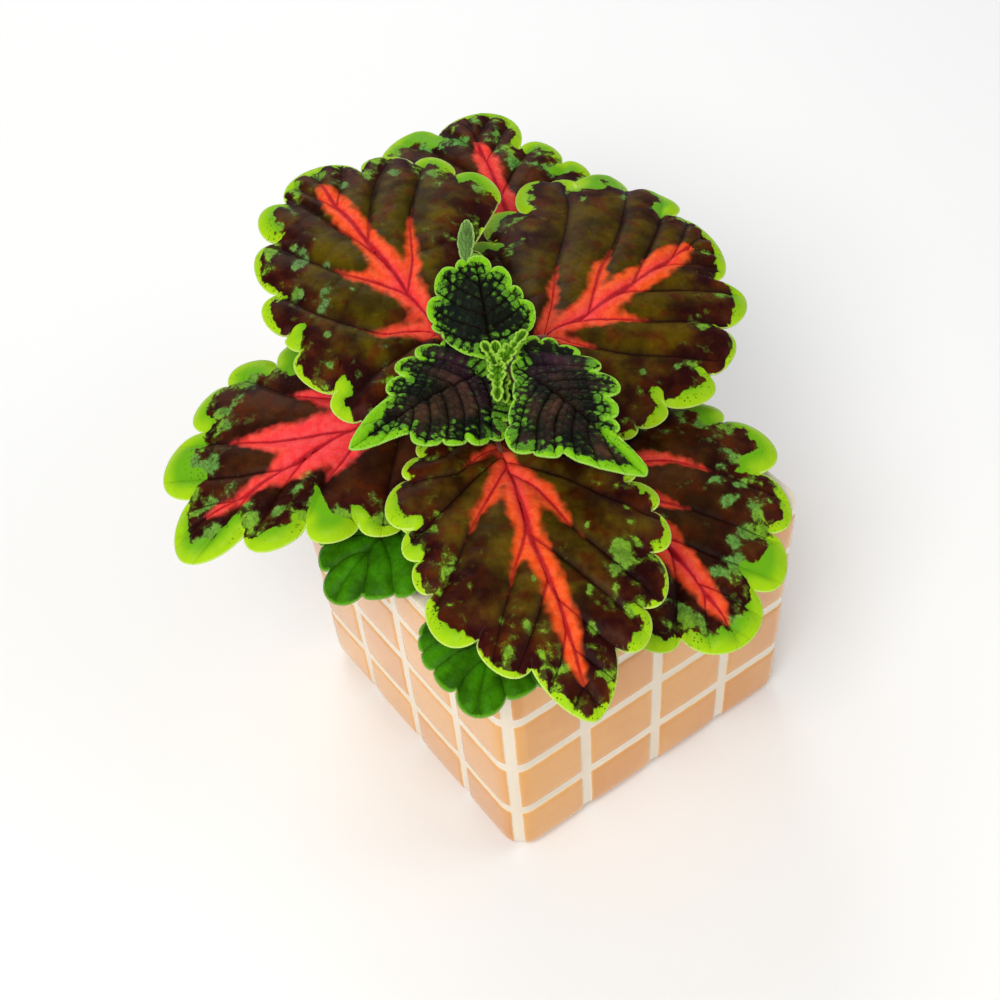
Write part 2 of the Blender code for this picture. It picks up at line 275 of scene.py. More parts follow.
def cloud(place, scale, detail=2.0, rough=0.55, output="Fac"):
    values = {"Vector": place, "Scale": scale, "Detail": detail, "Roughness": rough}
    return signal("ShaderNodeTexNoise", values, output=output)


def cells(place, scale, feature="F1"):
    return signal("ShaderNodeTexVoronoi", {"Vector": place, "Scale": scale}, dict(feature=feature), "Distance")


def attribute(shader, name, output):
    return Signal(addNode(shader.id_data, "ShaderNodeAttribute", {}, dict(attribute_name=name)).outputs[output])


def objectPlace(shader):
    return Signal(addNode(shader.id_data, "ShaderNodeTexCoord", {}).outputs["Object"])


def wire(shader, colour, rough, height, depth, strength=1.0):
    bump = signal("ShaderNodeBump", {"Height": height, "Strength": strength, "Distance": depth})
    for label, value in (("Base Color", colour), ("Roughness", rough), ("Normal", bump)):
        plug(shader.inputs[label], value)


def newGroup(name, inputs, outputs):
    group = bpy.data.node_groups.new(name, "ShaderNodeTree")
    for direction, sockets in (("INPUT", inputs), ("OUTPUT", outputs)):
        for label, kind in sockets:
            group.interface.new_socket(label, in_out=direction, socket_type="NodeSocket" + kind)
    inside = group.nodes.new("NodeGroupInput")
    outside = group.nodes.new("NodeGroupOutput")
    return group, {s.name: Signal(s) for s in inside.outputs}, outside.inputs


def addPiece(name, bm, materials, angle=None):
    mesh = bpy.data.meshes.new(name)
    bm.to_mesh(mesh)
    bm.free()
    mesh.shade_smooth()
    if angle:
        mesh.set_sharp_from_angle(angle=math.radians(angle))
    piece = bpy.data.objects.new(name, mesh)
    bpy.context.collection.objects.link(piece)
    for mat in materials:
        mesh.materials.append(mat)
    return piece


def settle(piece, node, slotName):
    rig.ride(piece, "root")
    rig.replaces(piece, node)
    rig.slot(piece, slotName)


def smoothPath(points, steps):
    # an even curve through the points
    pts = [np.array(p, float) for p in points]
    pts = [2 * pts[0] - pts[1]] + pts + [2 * pts[-1] - pts[-2]]
    out = []
    for a, b, c, d in zip(pts, pts[1:], pts[2:], pts[3:]):
        for i in range(steps):
            t = i / steps
            out.append(0.5 * (2 * b + (c - a) * t + (2 * a - 5 * b + 4 * c - d) * t * t
                              + (3 * b - 3 * c + d - a) * t ** 3))
    out.append(pts[-2])
    return np.array(out)


def sweep(path, section):
    # a capped tube along the path; the section gives its sides, its radius there and the way its first side faces
    bm = bmesh.new()
    sides = section["sides"]
    bmesh.ops.create_circle(bm, cap_ends=True, radius=1.0, segments=sides)
    face = bm.faces[:][0]
    turns = [math.atan2(v.co.y, v.co.x) for v in face.verts]
    aheads = [(path[min(i + 1, len(path) - 1)] - path[max(i - 1, 0)]).normalized() for i in range(len(path))]
    side = aheads[0].orthogonal().normalized()
    if "side" in section:
        side = (section["side"] - aheads[0] * section["side"].dot(aheads[0])).normalized()
    for i, (spot, ahead) in enumerate(zip(path, aheads)):
        if i:
            face = bmesh.ops.extrude_discrete_faces(bm, faces=[face])["faces"][0]
            side = (side - ahead * side.dot(ahead)).normalized()
        other = ahead.cross(side)
        for v, turn in zip(face.verts, turns):
            reach = section["radius"](i / (len(path) - 1), turn)
            v.co = spot + (side * math.cos(turn) + other * math.sin(turn)) * reach
    bmesh.ops.recalc_face_normals(bm, faces=bm.faces)
    return bm


# stem values, which the leaf stalks start from
stemShape = dict(foot=(-2.0, 6.0, 61.0), top=(-4.6, 8.2, 102.5), radius=(2.9, 1.5), bow=1.2, root=7.7,
                 nodes=(71.7, 77.8, 87.5, 94.8, 100.3), swell=0.16, swellReach=1.3, sides=24, steps=60)


def stemSpot(share):
    bow = stemShape["bow"] * math.sin(math.pi * share)
    spot = Vector(stemShape["foot"]).lerp(Vector(stemShape["top"]), share)
    return (spot + Vector((bow, -bow, 0.0))) * mm


def stemRadius(share):
    low, high = stemShape["radius"]
    return (low + (high - low) * max(share, 0.0)) * mm


def stemShare(height):
    return (height - stemShape["foot"][2]) / (stemShape["top"][2] - stemShape["foot"][2])


bladeShape = dict(lean=0.10, endGap=6.0, flameExtra=0.1, flameSoft=1.6, outside=-3.0, pathSteps=8, blur=10,
                  fingerGap=6.0, waveTurns=7.0, waveReach=20, thinReach=1.2,
                  lobe=(0.38, 0.05, 2.3), margin=(1.0, 0.45, 4.1), plainMargin=0.2, plainDepth=0.25, sinusDepth=0.15)

# For each leaf: base, heading, rise, roll, length, arch, hang, height of its stalk on the stem (node), end lobe
# (tip) and edge notches, as in the part; what a leaf doesn't say, leafKinds says. midrib is the middle vein and
# flame its red width at places along it. Ribs are the side veins' paths from the stalk to the tip, and Reds gives,
# for the red ones, the red share of the path and its half width. blots are green patches: place along and across,
# then their reach along and across. rim is the margin's least width and how much its lobes add. Low leaves are even
# ovals: width, the share of the length where they are widest, and lobes a side. All in millimetres and degrees.
leaves = {
    "leaf_upper_left": dict(
        kind="large", base=(-4.8, 30.8, 100.0), heading=82.6, rise=6.0, roll=-1, length=71.2, arch=0.05, node=95.0,
            tip=0.38, swells=((-13, 23, 9, 1.5),), rim=(-0.5, 3.4),
        left=((-9, 15), (-11, 27), (-1.5, 28), (13, 30.5), (18.5, 31), (31.5, 28), (47, 21.5), (58.5, 13.5)),
        right=((-8, -10), (-2, -16), (9, -18.5, 0.2), (20, -18.5, 0.04), (32.5, -33, 0.38, 1.7), (47, -28.5),
            (56, -21.5), (59, -8)),
        midrib=((0, 0.6), (6, 1.1), (13, 1.7), (23, 2.2), (39, 3.3), (52, 3.9), (66, 2.8)),
        flame=((0, 1.4), (6, 2.2), (12, 3.0), (16, 3.6), (22, 3.2), (29, 3.0), (36, 2.7), (43, 2.9), (50, 2.7),
            (55, 1.5), (58.5, 0.2)),
        leftRibs=(((0.5, 1.2), (-1, 10), (-3, 20), (-6, 28)), ((1, 1.5), (4, 7.5), (6.7, 13.3), (17, 21.5),
            (29, 28)), ((12.8, 1.7), (20, 7), (27.8, 13.2), (40, 20), (51, 24.5)), ((27, 2.5), (38, 6), (50, 9.3),
            (60, 12.5)), ((47, 3.7), (54, 6.5), (61, 9.5))),
        leftReds={1: (0.42, 1.9), 2: (0.45, 2.6)},
        rightRibs=(((0.5, 0.4), (-1, -4), (-3, -9), (-4, -14)), ((3, 0.8), (7, -5), (12, -11), (18, -17)),
            ((14, 1.5), (21.7, -3.7), (28, -6.6), (36, -10.5), (48, -19), (56, -25)), ((33, 2.8), (43, -3), (52, -9),
            (57, -14)), ((49, 3.6), (56, -1), (62, -4))),
        rightReds={2: (0.5, 2.1)},
        blots=((22, 20, 3, 3), (27, 24, 2.5, 1.5), (37, 18.5, 3, 2), (31, 14.5, 2.6, 1.6), (35, 22, 1.6, 1.1),
            (21, 13, 1.6, 1.2), (44, 25, 2, 1.2), (50, 19, 2, 1.6), (61, 10, 2.4, 2), (54, -1, 2.6, 1.6),
            (62, 2, 2.4, 2), (55, -8, 3, 1.8), (52, -14, 2.4, 1.4), (49, -23, 3, 2), (38, -30, 2, 1.2),
            (24, 9.5, 1, 0.8), (40, 14, 1, 0.7), (12, 24, 1, 0.8), (4, 27, 1.2, 1), (18, -17, 1.5, 1)),
        look=dict(Olive=1.0, Speckle=0.55, Pink=0.35, Inner=tint(74, 60, 0), PatchIn=tint(96, 134, 76))),
    "leaf_upper_right": dict(
        kind="large", base=(16.3, 21.2, 93.5), heading=12.7, rise=-8.0, roll=6, length=71.9, arch=0.05, hang=0.18,
            node=88.0, tip=0.24, rim=(-0.6, 3.3),
        left=((-9, 14), (-7, 25), (9, 29.5), (20.5, 32.3, 0.38, 1.5), (36, 35, 0.46, 1.5), (54.5, 41.8, 0.3, 1.2),
            (55, 34.0, 0.5, 1.5), (66.8, 24.6, 0.6, 2.1), (64.6, 8.3, 0.4, 1.8)),
        right=((-10, -13), (-11, -26), (-2.5, -34), (6.5, -33.5), (21.5, -36), (35.5, -28), (50, -16.5)),
        midrib=((0, -0.5), (10, -3.7), (20, -4.7), (39, -5.2), (52, -4.6), (66, -3)),
        flame=((0, 0.8), (4, 2.0), (10, 3.0), (16, 3.8), (22, 3.6), (30, 3.4), (38, 3.7), (46, 3.2), (51, 2.2),
            (55, 0.6)),
        leftRibs=(((0, -0.2), (-1, 9), (-3, 19), (-5, 29)), ((0.5, 0), (6, 10), (13, 22), (20, 33)), ((1.7, -0.6),
            (10, 4.4), (17, 9.4), (23, 13.6), (35, 21), (45, 28), (50, 33)), ((14, -4), (22.8, 1.1), (29.4, 4.6),
            (37, 7.2), (50, 14), (62, 22)), ((30, -4.9), (42, 0), (55, 6), (68, 14)), ((46, -4.9), (56, -1),
            (66, 4))),
        leftReds={2: (0.42, 1.4), 3: (0.47, 2.3)},
        rightRibs=(((0, -1), (-2, -10), (-5, -20), (-8, -27)), ((1.5, -1.5), (4, -8), (6.5, -13), (12, -21),
            (20, -29)), ((10, -3.8), (15.5, -8.9), (19.5, -13), (23, -17), (32, -24), (38, -29)), ((25, -4.8),
            (33, -11), (40, -16), (46, -21)), ((42, -5.1), (50, -10), (54, -14))),
        rightReds={1: (0.35, 1.6), 2: (0.47, 2.4)},
        blots=((14, 32, 2, 1.5), (30, 33, 2, 1), (40, 37, 2, 1), (8, 27, 1.4, 1), (60, 22, 2, 1.2), (58, 31, 1.5, 1),
            (44, -22, 2, 1.5), (30, -27, 2, 1.4), (8, -26, 1.4, 1.4), (64, 5, 2.4, 1), (50, 27, 1.2, 0.9),
            (16, -30, 1.4, 1.2), (24, 26, 1, 0.8), (56, -9, 2, 1.2), (61, 13, 1.5, 1)),
        look=dict(Olive=1.0, Speckle=0.42, Pink=0.25, Inner=tint(74, 56, 0), PatchIn=tint(104, 148, 58))),
    "leaf_back": dict(
        kind="large", base=(38.4, 57.0, 77.5), heading=64.8, rise=5.6, roll=1, length=69.5, arch=0.05, node=77.0,
            tip=0.57, rim=(-0.2, 5.2),
        left=((-8, 12), (-8, 23), (4, 29), (19, 32), (37, 33), (53.5, 30), (60.5, 13)),
        right=((-6, -9), (-5, -15), (5, -20), (18, -24), (33, -25), (40, -18.5), (48, -8)),
        midrib=((0, 0), (12, 0.3), (27, 1), (40, 2), (52, 3.2), (68, 4)),
        flame=((0, 1), (8, 3), (16, 3.6), (25, 3.2), (35, 2.6), (43, 2.5), (48, 1.8), (52, 0.3)),
        leftRibs=(((0, 0.5), (-2, 9), (-4, 17), (-5, 25)), ((2, 0.5), (9, 9), (15, 19), (20, 31)), ((13, 0.4),
            (23, 8), (33, 17), (45, 29)), ((29, 1.2), (40, 8), (51, 16), (57, 22)), ((46, 2.6), (54, 7), (62, 12))),
        leftReds={1: (0.5, 2.2), 2: (0.45, 2.4)},
        rightRibs=(((0, -0.5), (-1, -5), (-3, -10), (-4, -14)), ((2, 0), (8, -6), (13, -13), (18, -22)), ((13, 0.3),
            (22, -5), (31, -13), (38, -20)), ((28, 1), (37, -4), (44, -9)), ((43, 2.2), (50, -2), (57, -6))),
        rightReds={1: (0.5, 2), 2: (0.45, 2.2)},
        blots=((53, 8, 5, 2), (42, -5, 3.4, 1.5), (55, -3, 4, 1.6), (45, -12, 4, 1.6), (35, -14, 3, 1.6),
            (24, -10, 2, 1.2), (44, 17, 4, 2), (33, 24, 3, 2), (62, 2, 2, 1.4), (20, 22, 2.4, 1.8),
            (28, 15, 1.6, 1.1), (12, -15, 2, 1.4)),
        look=dict(Olive=0.45, Speckle=0.75, Pink=0.9, Inner=tint(80, 50, 4), PatchIn=tint(96, 158, 70))),
    "leaf_left": dict(
        kind="large", base=(-20.6, 22.8, 92.0), heading=173.0, rise=-13.3, roll=-9, length=65.2, node=87.0, tip=0.7,
            sharp=0.25, rim=(-0.2, 5.6),
        left=((-8, 11), (-8, 22), (4, 27.5), (17.5, 26.5), (25, 21), (35, 14), (48.5, 7.5)),
        right=((-8, -12), (-5, -21), (7, -26.5), (20, -30.5), (32.5, -33.5), (43.5, -24.5), (54.5, -9.5)),
        midrib=((0, 0), (12, -0.5), (30, -0.3), (45, -0.6), (63, -2.8)),
        flame=((0, 2.8), (8, 4.8), (14, 6.2), (20, 5.8), (28, 4.4), (33, 3.2), (37, 1.8), (44, 1.4), (51, 1.0),
            (54, 0.2)),
        leftRibs=(((0.5, 0.5), (-2, 9), (-5, 18), (-7, 22)), ((2, 0.6), (8, 9), (15, 17), (20, 23)), ((12, 0.8),
            (19, 5), (26, 8.2), (32, 12), (37, 15)), ((28, 0.2), (36, 4), (44, 8)), ((42, -0.3), (50, 2.5),
            (56, 4))),
        leftReds={1: (0.2, 2), 2: (0.55, 2.8)},
        rightRibs=(((0, -1), (-2, -10), (-5, -20), (-7, -24)), ((2, -1), (10, -8), (17, -14), (22, -19.5),
            (28, -30)), ((15, -1), (24, -5), (31, -9), (39, -15.5), (46, -21), (52, -26)), ((33, -1), (42, -6),
            (50, -12), (55, -16)), ((46, -1.2), (53, -5), (58, -8))),
        rightReds={1: (0.68, 4.4), 2: (0.64, 4.9)},
        blots=((34, 15, 2, 2.6), (31, 11, 1.5, 1.5), (52, -4, 2.6, 2), (45, -14, 3.2, 2.4), (50, -17, 2.6, 2),
            (36, -25, 3, 2), (28, -31, 3, 1.6), (46, 6, 3.4, 1.1), (56, 3, 3, 1.3), (38, 8.5, 2.4, 1),
            (38, -21, 0.9, 1.6), (46, -7, 1, 1), (20, -29, 2, 1.4), (27, 18, 1.6, 1.2), (14, 22, 2, 1.4),
            (8, -27, 2, 1.6)),
        look=dict(Olive=0.25, Speckle=0.8, Pink=1.0, Inner=tint(80, 56, 6), PatchIn=tint(98, 146, 66))),
    "leaf_front": dict(
        kind="large", base=(-15.4, -7.1, 98.0), heading=-110.0, rise=-9.3, roll=-2, length=71.1, node=94.5, tip=0.78,
            sharp=0.55, rim=(-0.2, 2.3),
        left=((-7, 10), (-6, 19), (5, 23), (17, 24), (26, 26.5), (36.5, 22.5), (49, 16.5), (56.5, 8)),
        right=((-7, -9), (-4, -17.5), (2, -21.5), (16, -24), (24.5, -25), (33.5, -24.5), (47, -18.5), (56.5, -10)),
        midrib=((0, 0), (6, -0.3), (22, -0.8), (30, -1.4), (40, -0.7), (52, -0.6), (61, -1), (70, 0.2)),
        flame=((0, 0.6), (5, 1.4), (9, 2.4), (14, 3), (20, 3), (26, 2.5), (32, 2.5), (40, 2.1), (48, 2.4), (54, 1.8),
            (60, 1.0), (63, 0.2)),
        leftRibs=(((0.5, 0.3), (-1, 7), (-3, 14), (-5, 18)), ((1, 0.4), (4, 8), (8, 15), (11, 22)), ((5, 0),
            (13, 10), (20, 17), (27, 25)), ((9.4, 0.3), (14, 3.4), (18, 5), (23, 6.6), (28, 8.3), (38, 14),
            (46, 19)), ((27, -1), (37, 5), (47, 11), (55, 15)), ((43, -0.6), (51, 4), (58, 9))),
        leftReds={3: (0.52, 2.4)},
        rightRibs=(((0, -0.5), (2, -6), (5, -11), (4, -18)), ((3, -0.4), (8, -8), (13, -15), (18, -23)),
            ((6.5, -0.5), (11.7, -4.6), (17.2, -9.4), (21.5, -13), (30, -19), (35, -23)), ((21, -0.9), (25, -1.8),
            (29.4, -4), (34, -6.9), (38, -9), (47, -14), (53, -17)), ((38, -0.8), (47, -6), (55, -12)), ((50, -0.7),
            (57, -4), (62, -8))),
        rightReds={0: (0.5, 0.9), 2: (0.58, 2.0), 3: (0.5, 2.0)},
        blots=((36, 16, 3.6, 2.6), (40, 13, 2.6, 1.8), (35, 20, 1.6, 1.1), (44, 12, 1.4, 1), (33, 4, 2, 2),
            (52, 5, 2, 1.4), (62, 4, 1.8, 1.4), (50, 13.5, 1.6, 1.4), (43, 7, 1, 0.9), (54, -7.5, 2, 1),
            (48, -8.6, 1.6, 0.9), (45, -13, 1.2, 1), (52, -14, 1.5, 1.2), (38, -4.2, 1, 0.7), (30, -21, 1.4, 1),
            (36, -17, 1.4, 1), (19, -20, 1.2, 1), (25, 21, 1.6, 1.2), (14, 20, 1.4, 1.2), (59, -3, 1.6, 1.2),
            (28, 11, 1, 0.9)),
        look=dict(Olive=0.8, Speckle=0.55, Pink=0.2, Inner=tint(84, 66, 6), PatchIn=tint(116, 158, 48))),
    "leaf_right": dict(
        kind="large", base=(3.3, -13.2, 79.5), heading=-87.9, rise=-11.2, roll=2, length=53.9, hang=0.15, node=78.5,
            tip=0.42, rim=(-0.2, 5.0),
        left=((-7, 11), (-10, 24), (-6, 35), (5, 39.5), (22.5, 34.5), (36.5, 25), (45.5, 11.5)),
        right=((-7, -8), (-5, -15), (5, -19), (18, -20), (32, -19), (45, -10)),
        midrib=((0, 0.5), (10, 1), (25, 1.9), (40, 1), (53, 0)),
        flame=((0, 1), (6, 2.4), (14, 3), (22, 3.6), (30, 3.4), (38, 3), (43, 2.4), (47, 1.2), (49, 0.2)),
        leftRibs=(((0, 1), (-2, 12), (-5, 22), (-8, 31)), ((1, 1.5), (2.5, 10), (7, 18), (13, 22.5), (18.5, 26),
            (27, 31), (31, 33)), ((6, 1.2), (12, 5.5), (17, 9.5), (23.5, 14), (33, 20), (39, 24)), ((22, 1.9),
            (31, 7), (39, 12), (45, 16)), ((37, 1.2), (43, 4.5), (49, 7))),
        leftReds={1: (0.64, 2.6), 2: (0.5, 2.4)},
        rightRibs=(((0, 0), (-1, -6), (-3, -11), (-5, -14)), ((2, 0.6), (8, -6), (13, -12), (17, -20)), ((13, 1.2),
            (20, -4), (27, -10), (33, -17)), ((28, 1.7), (35, -3), (42, -9)), ((40, 1), (45, -3), (50, -6))),
        rightReds={1: (0.5, 1.6), 2: (0.5, 1.8)},
        blots=((14, 32, 2.4, 2), (23, 28, 1.5, 3), (25, 22, 2, 2.6), (19, 22, 1.5, 3), (31, 25, 3, 1.6),
            (33, 19, 2.6, 1.6), (37, 11, 3, 2), (38, 7, 2, 1.6), (34, 14.5, 2.4, 1.4), (42, -6, 2.6, 2.4),
            (16, 17, 2, 3), (47, -5, 2, 1.4), (28, -14, 2.4, 1.6), (16, -15, 2, 1.4), (4, 33, 2, 1.8),
            (35, -8, 1.2, 1)),
        look=dict(Olive=0.35, Speckle=0.85, Pink=0.45, Inner=tint(82, 58, 6), PatchIn=tint(100, 150, 68))),
    "leaf_low_left": dict(
        kind="low", base=(-30.0, 5.4, 81.5), heading=-168.0, rise=-15.0, length=29.0, node=71.5, width=33.0,
            widest=0.45),
    "leaf_low_front": dict(
        kind="low", base=(-30.0, -27.0, 76.5), heading=-139.0, rise=-9.0, length=27.0, hang=0.2, node=72.0,
            width=33.0, widest=0.45),
    "leaf_low_right": dict(
        kind="low", base=(17.0, 13.0, 77.0), heading=10.0, rise=-4.0, length=25.0, node=71.5, width=24.0,
            widest=0.42),
    "leaf_low_back": dict(
        kind="low", base=(-8.0, 27.0, 77.0), heading=112.0, rise=-4.0, length=27.0, node=72.0, width=27.0,
            widest=0.42),
    "young_leaf_back": dict(
        kind="young", base=(-3.4, 11.6, 107.4), heading=63.0, rise=23.0, roll=0, length=31.0, arch=0.02, node=101.0,
            width=24.0, widest=0.33, ribs=6, tip=0.42, sharp=0.0, sinus=(-2.8, 1.2), swells=((-2.0, 3.4, 3.6, 1.0),),
        left=((-1.4, 4.4), (6.0, 10.3, 0.15), (8.8, 11.8), (15, 9.8), (21.2, 4.8), (22.3, 2.2)),
        right=((0.4, -3, 0.15), (3.0, -8.8), (10.9, -9), (14.3, -6.7), (19.6, -3.2)),
        tongue=dict(base=(3.0, 29.8, 115.5), heading=51.2, rise=24.0, length=13.2, width=3.6, widest=0.6, lobes=5,
            arch=0.04, ribs=5),
        look=dict(Inner=tint(20, 22, 18), Middle=tint(10, 20, 18), Purple=0.0)),
    "young_leaf_left": dict(
        kind="young", base=(-8.6, 8.4, 105.2), heading=-171.1, rise=7.3, roll=-8, length=38.5, node=99.6, width=29.0,
            widest=0.42, ribs=7, tip=1.2, sharp=0.6, tipLean=0.45, tipBroad=2.8, sinus=(-1.2, 0.6),
            cup=(4.5, 5.0, 14.0),
        left=((-1.6, 4.6), (2.4, 10.9), (6.9, 13.7), (13.3, 16), (18.1, 13.9), (23, 11.1), (27.2, 5.5)),
        right=((-2.6, -2.6, 0.1), (-4.4, -4.9), (-4.6, -6.9), (-1.9, -10), (1, -12.5), (9, -11.4), (16.5, -8.3),
            (22.8, -5)),
        look=dict(Inner=tint(84, 52, 36), Middle=tint(48, 32, 26), Purple=0.6)),
    "young_leaf_right": dict(
        kind="young", base=(-2.9, 3.0, 107.2), heading=-89.4, rise=0.3, roll=-8, length=44.5, node=100.4, width=31.0,
            widest=0.36, ribs=8, tip=1.0, sharp=0.4, tipLean=0.45, tipBroad=3.2, sinus=(-0.8, 1.0),
            cup=(6.0, 5.0, 14.0),
        left=((-4.8, 6), (-3.8, 9.9), (-1.3, 13.2), (3.5, 15.5), (12, 12.4), (21.6, 7.9), (27.8, 3.4), (32.1, 2.3)),
        right=((-0.5, -0.8, 0.1), (5.2, -4, 0.1), (10.8, -8.4, 0.12), (16.8, -14), (26.2, -15.3), (30.3, -10.6)),
        look=dict(Inner=tint(86, 52, 38), Middle=tint(50, 32, 28), Purple=0.6)),
}


def bladeFrame(spec):
    heading = math.radians(spec["heading"])
    rise = math.radians(spec["rise"])
    along = Vector((math.cos(heading) * math.cos(rise), math.sin(heading) * math.cos(rise), math.sin(rise)))
    across = Vector((0, 0, 1)).cross(along).normalized()
    across = Matrix.Rotation(math.radians(spec["roll"]), 3, along) @ across
    return along, across, along.cross(across)


def bladeSpots(spec, u, v, lift):
    # places in metres for arrays along, across and out of the blade in millimetres
    along, across, out = (np.array(d) for d in bladeFrame(spec))
    length = spec["length"]
    t = u / length  # share of the length
    lift = lift + 4 * spec["arch"] * length * t * (1 - t) - spec["hang"] * v * v / length
    if "cup" in spec:
        high, start, reach = spec["cup"]
        lift = lift + high * np.clip((start - u) / reach, 0, 1.3) ** 2
    for place, aside, reach, high in spec.get("swells", ()):
        lift = lift + high * np.exp(-((u - place) ** 2 + (v - aside) ** 2) / reach ** 2)
    lift = lift + spec.get("fold", 0.0) * np.abs(v)
    return (np.array(spec["base"]) + u[:, None] * along + v[:, None] * across + lift[:, None] * out) * mm


def lobePoints(start, end, depth, lean, step, sharp=0.0):
    # one lobe of the edge from start to just before end, leaning a little towards the leaf's tip; sharp 1 is pointed
    span = end - start
    out = np.array((span[1], -span[0])) * depth
    size = np.hypot(*span)
    girth = math.pi * size * math.sqrt((0.25 + depth * depth) / 2)
    steps = max(5, round(girth / step))
    points = []
    for i in range(steps):
        turn = math.pi * i / steps
        stand = (1 - abs(math.cos(turn)) ** (2 - 0.8 * sharp)) ** (0.5 + 0.25 * sharp)
        across = (1 - math.cos(turn)) / 2 + lean * math.sin(turn) ** 2
        points.append((*(start + span * across + out * stand), math.sin(turn)))
    return points


def lobedEdge(spec, step):
    # a notch's third number says how far the lobe after it stands out, and its fourth how broad its margin is
    right = spec["right"]
    listed = [spec.get("sinus", (-1.5, 0.0)), *right, *reversed(spec["left"])]
    stops = [np.array(p[:2], float) for p in listed]
    depths, margins = bladeShape["lobe"], bladeShape["margin"]
    points = []
    for i, stop in enumerate(stops):
        after = stops[(i + 1) % len(stops)]
        atSinus = i in (0, len(stops) - 1)
        atTip = i == len(right)
        usual = depths[0] + depths[1] * math.sin(i * depths[2])
        depth = bladeShape["sinusDepth"] if atSinus else spec["tip"] if atTip else usual
        depth = listed[i][2] if len(listed[i]) > 2 else depth
        lean = 0.0 if atSinus else spec.get("tipLean", 0.0) if atTip else bladeShape["lean"]
        sharp = spec.get("sharp", 0.0) if atTip else 0.0
        lobe = lobePoints(stop, after, depth, lean * (1 if i <= len(right) else -1), step, sharp)
        plain = atSinus or (len(listed[i]) > 2 and depth < bladeShape["plainDepth"])
        broad = margins[0] + margins[1] * math.sin(i * margins[2] + spec["length"])
        broad = bladeShape["plainMargin"] if plain else broad
        broad = spec.get("tipBroad", broad) if atTip else broad
        broad = listed[i][3] if len(listed[i]) > 3 else broad
        points += [(*p, broad) for p in lobe]
    return np.array(points)


def ovalHalf(share, widest):
    power = math.log(0.5) / math.log(widest)
    return math.sin(math.pi * share ** power) ** 0.72


def ovalEdge(spec, step, depth):
    length, half, lobes = spec["length"], spec["width"] / 2, spec["lobes"]
    shares = [0.03 + 0.89 * i / lobes for i in range(lobes + 1)]
    right = [np.array((length * s, -half * ovalHalf(s, spec["widest"]))) for s in shares]
    left = [np.array((p[0], -p[1])) for p in reversed(right)]
    stops = right + left
    points = []
    for i, stop in enumerate(stops):
        after = stops[(i + 1) % len(stops)]
        atBase = i == len(stops) - 1
        bulge = 0.0 if atBase else 0.5 if i == lobes else depth * (1 + 0.2 * math.sin(i * 1.7))
        lean = 0.0 if atBase or i == lobes else 0.14 * (1 if i < lobes else -1)
        points += [(*p, 1.0) for p in lobePoints(stop, after, bulge, lean, step)]
    return np.array(points)


def ovalRibs(spec):
    # midrib and side ribs for an even oval leaf
    length, half, count = spec["length"], spec["width"] / 2, spec["ribs"]
    spec["midrib"] = ((0, 0), (length * 0.5, 0), (length * 0.99, 0))
    for name, sign in (("leftRibs", 1), ("rightRibs", -1)):
        ribs = []
        for i in range(count):
            start = length * (0.02 + 0.74 * i / count)
            share = min(0.97, 0.16 + 0.82 * ((i + 0.6) / count) ** 0.9)
            edge = half * ovalHalf(share, spec["widest"]) * 0.98
            middle = (start + (length * share - start) * 0.42, sign * edge * 0.55)
            ribs.append(((start, 0), middle, (length * share, sign * edge)))
        spec[name] = tuple(ribs)
    spec["flame"] = ((0, -9), (length, -9))  # none


def pathDistance(u, v, path):
    # unsigned distance to a path, the share along it of the nearest place, and the side as a cross product
    a, b = path[:-1], path[1:]
    d = b - a
    size = np.hypot(d[:, 0], d[:, 1])
    du = u[:, None] - a[None, :, 0]
    dv = v[:, None] - a[None, :, 1]
    t = np.clip((du * d[:, 0] + dv * d[:, 1]) / (size ** 2), 0, 1)
    gap = np.hypot(du - t * d[:, 0], dv - t * d[:, 1])
    best = gap.argmin(axis=1)
    row = np.arange(len(u))
    turn = d[best, 0] * dv[row, best] - d[best, 1] * du[row, best]
    before = np.concatenate(((0,), np.cumsum(size)))
    share = (before[best] + t[row, best] * size[best]) / before[-1]
    return gap[row, best], share, np.where(turn >= 0, 1.0, -1.0)


def stretchPath(points, back, ahead):
    # the smooth path, drawn out past both its ends
    path = smoothPath(points, bladeShape["pathSteps"])
    first = path[0] - path[1]
    last = path[-1] - path[-2]
    return np.vstack((path[0] + first / np.hypot(*first) * back, path, path[-1] + last / np.hypot(*last) * ahead))


def ribFields(u, v, ribs, sign):
    # phase counts the ribs from base to tip and passes a whole number on each one; gap is their spacing there
    signed = []
    for points in ribs:
        gap, _, turn = pathDistance(u, v, stretchPath(points, 5.0, 9.0))
        signed.append(-sign * turn * gap)
    signed = np.minimum.accumulate(np.array(signed), axis=0)
    count = (signed > 0).sum(axis=0)
    row = np.arange(len(u))
    end = bladeShape["endGap"]
    before = signed[np.clip(count - 1, 0, len(ribs) - 1), row]
    after = signed[np.clip(count, 0, len(ribs) - 1), row]
    gap = np.where(count == 0, end, np.where(count == len(ribs), end, before - after))
    gap = np.maximum(gap, 0.02)
    phase = np.where(count == 0, after / end, count - 1 + before / gap)
    return phase, gap


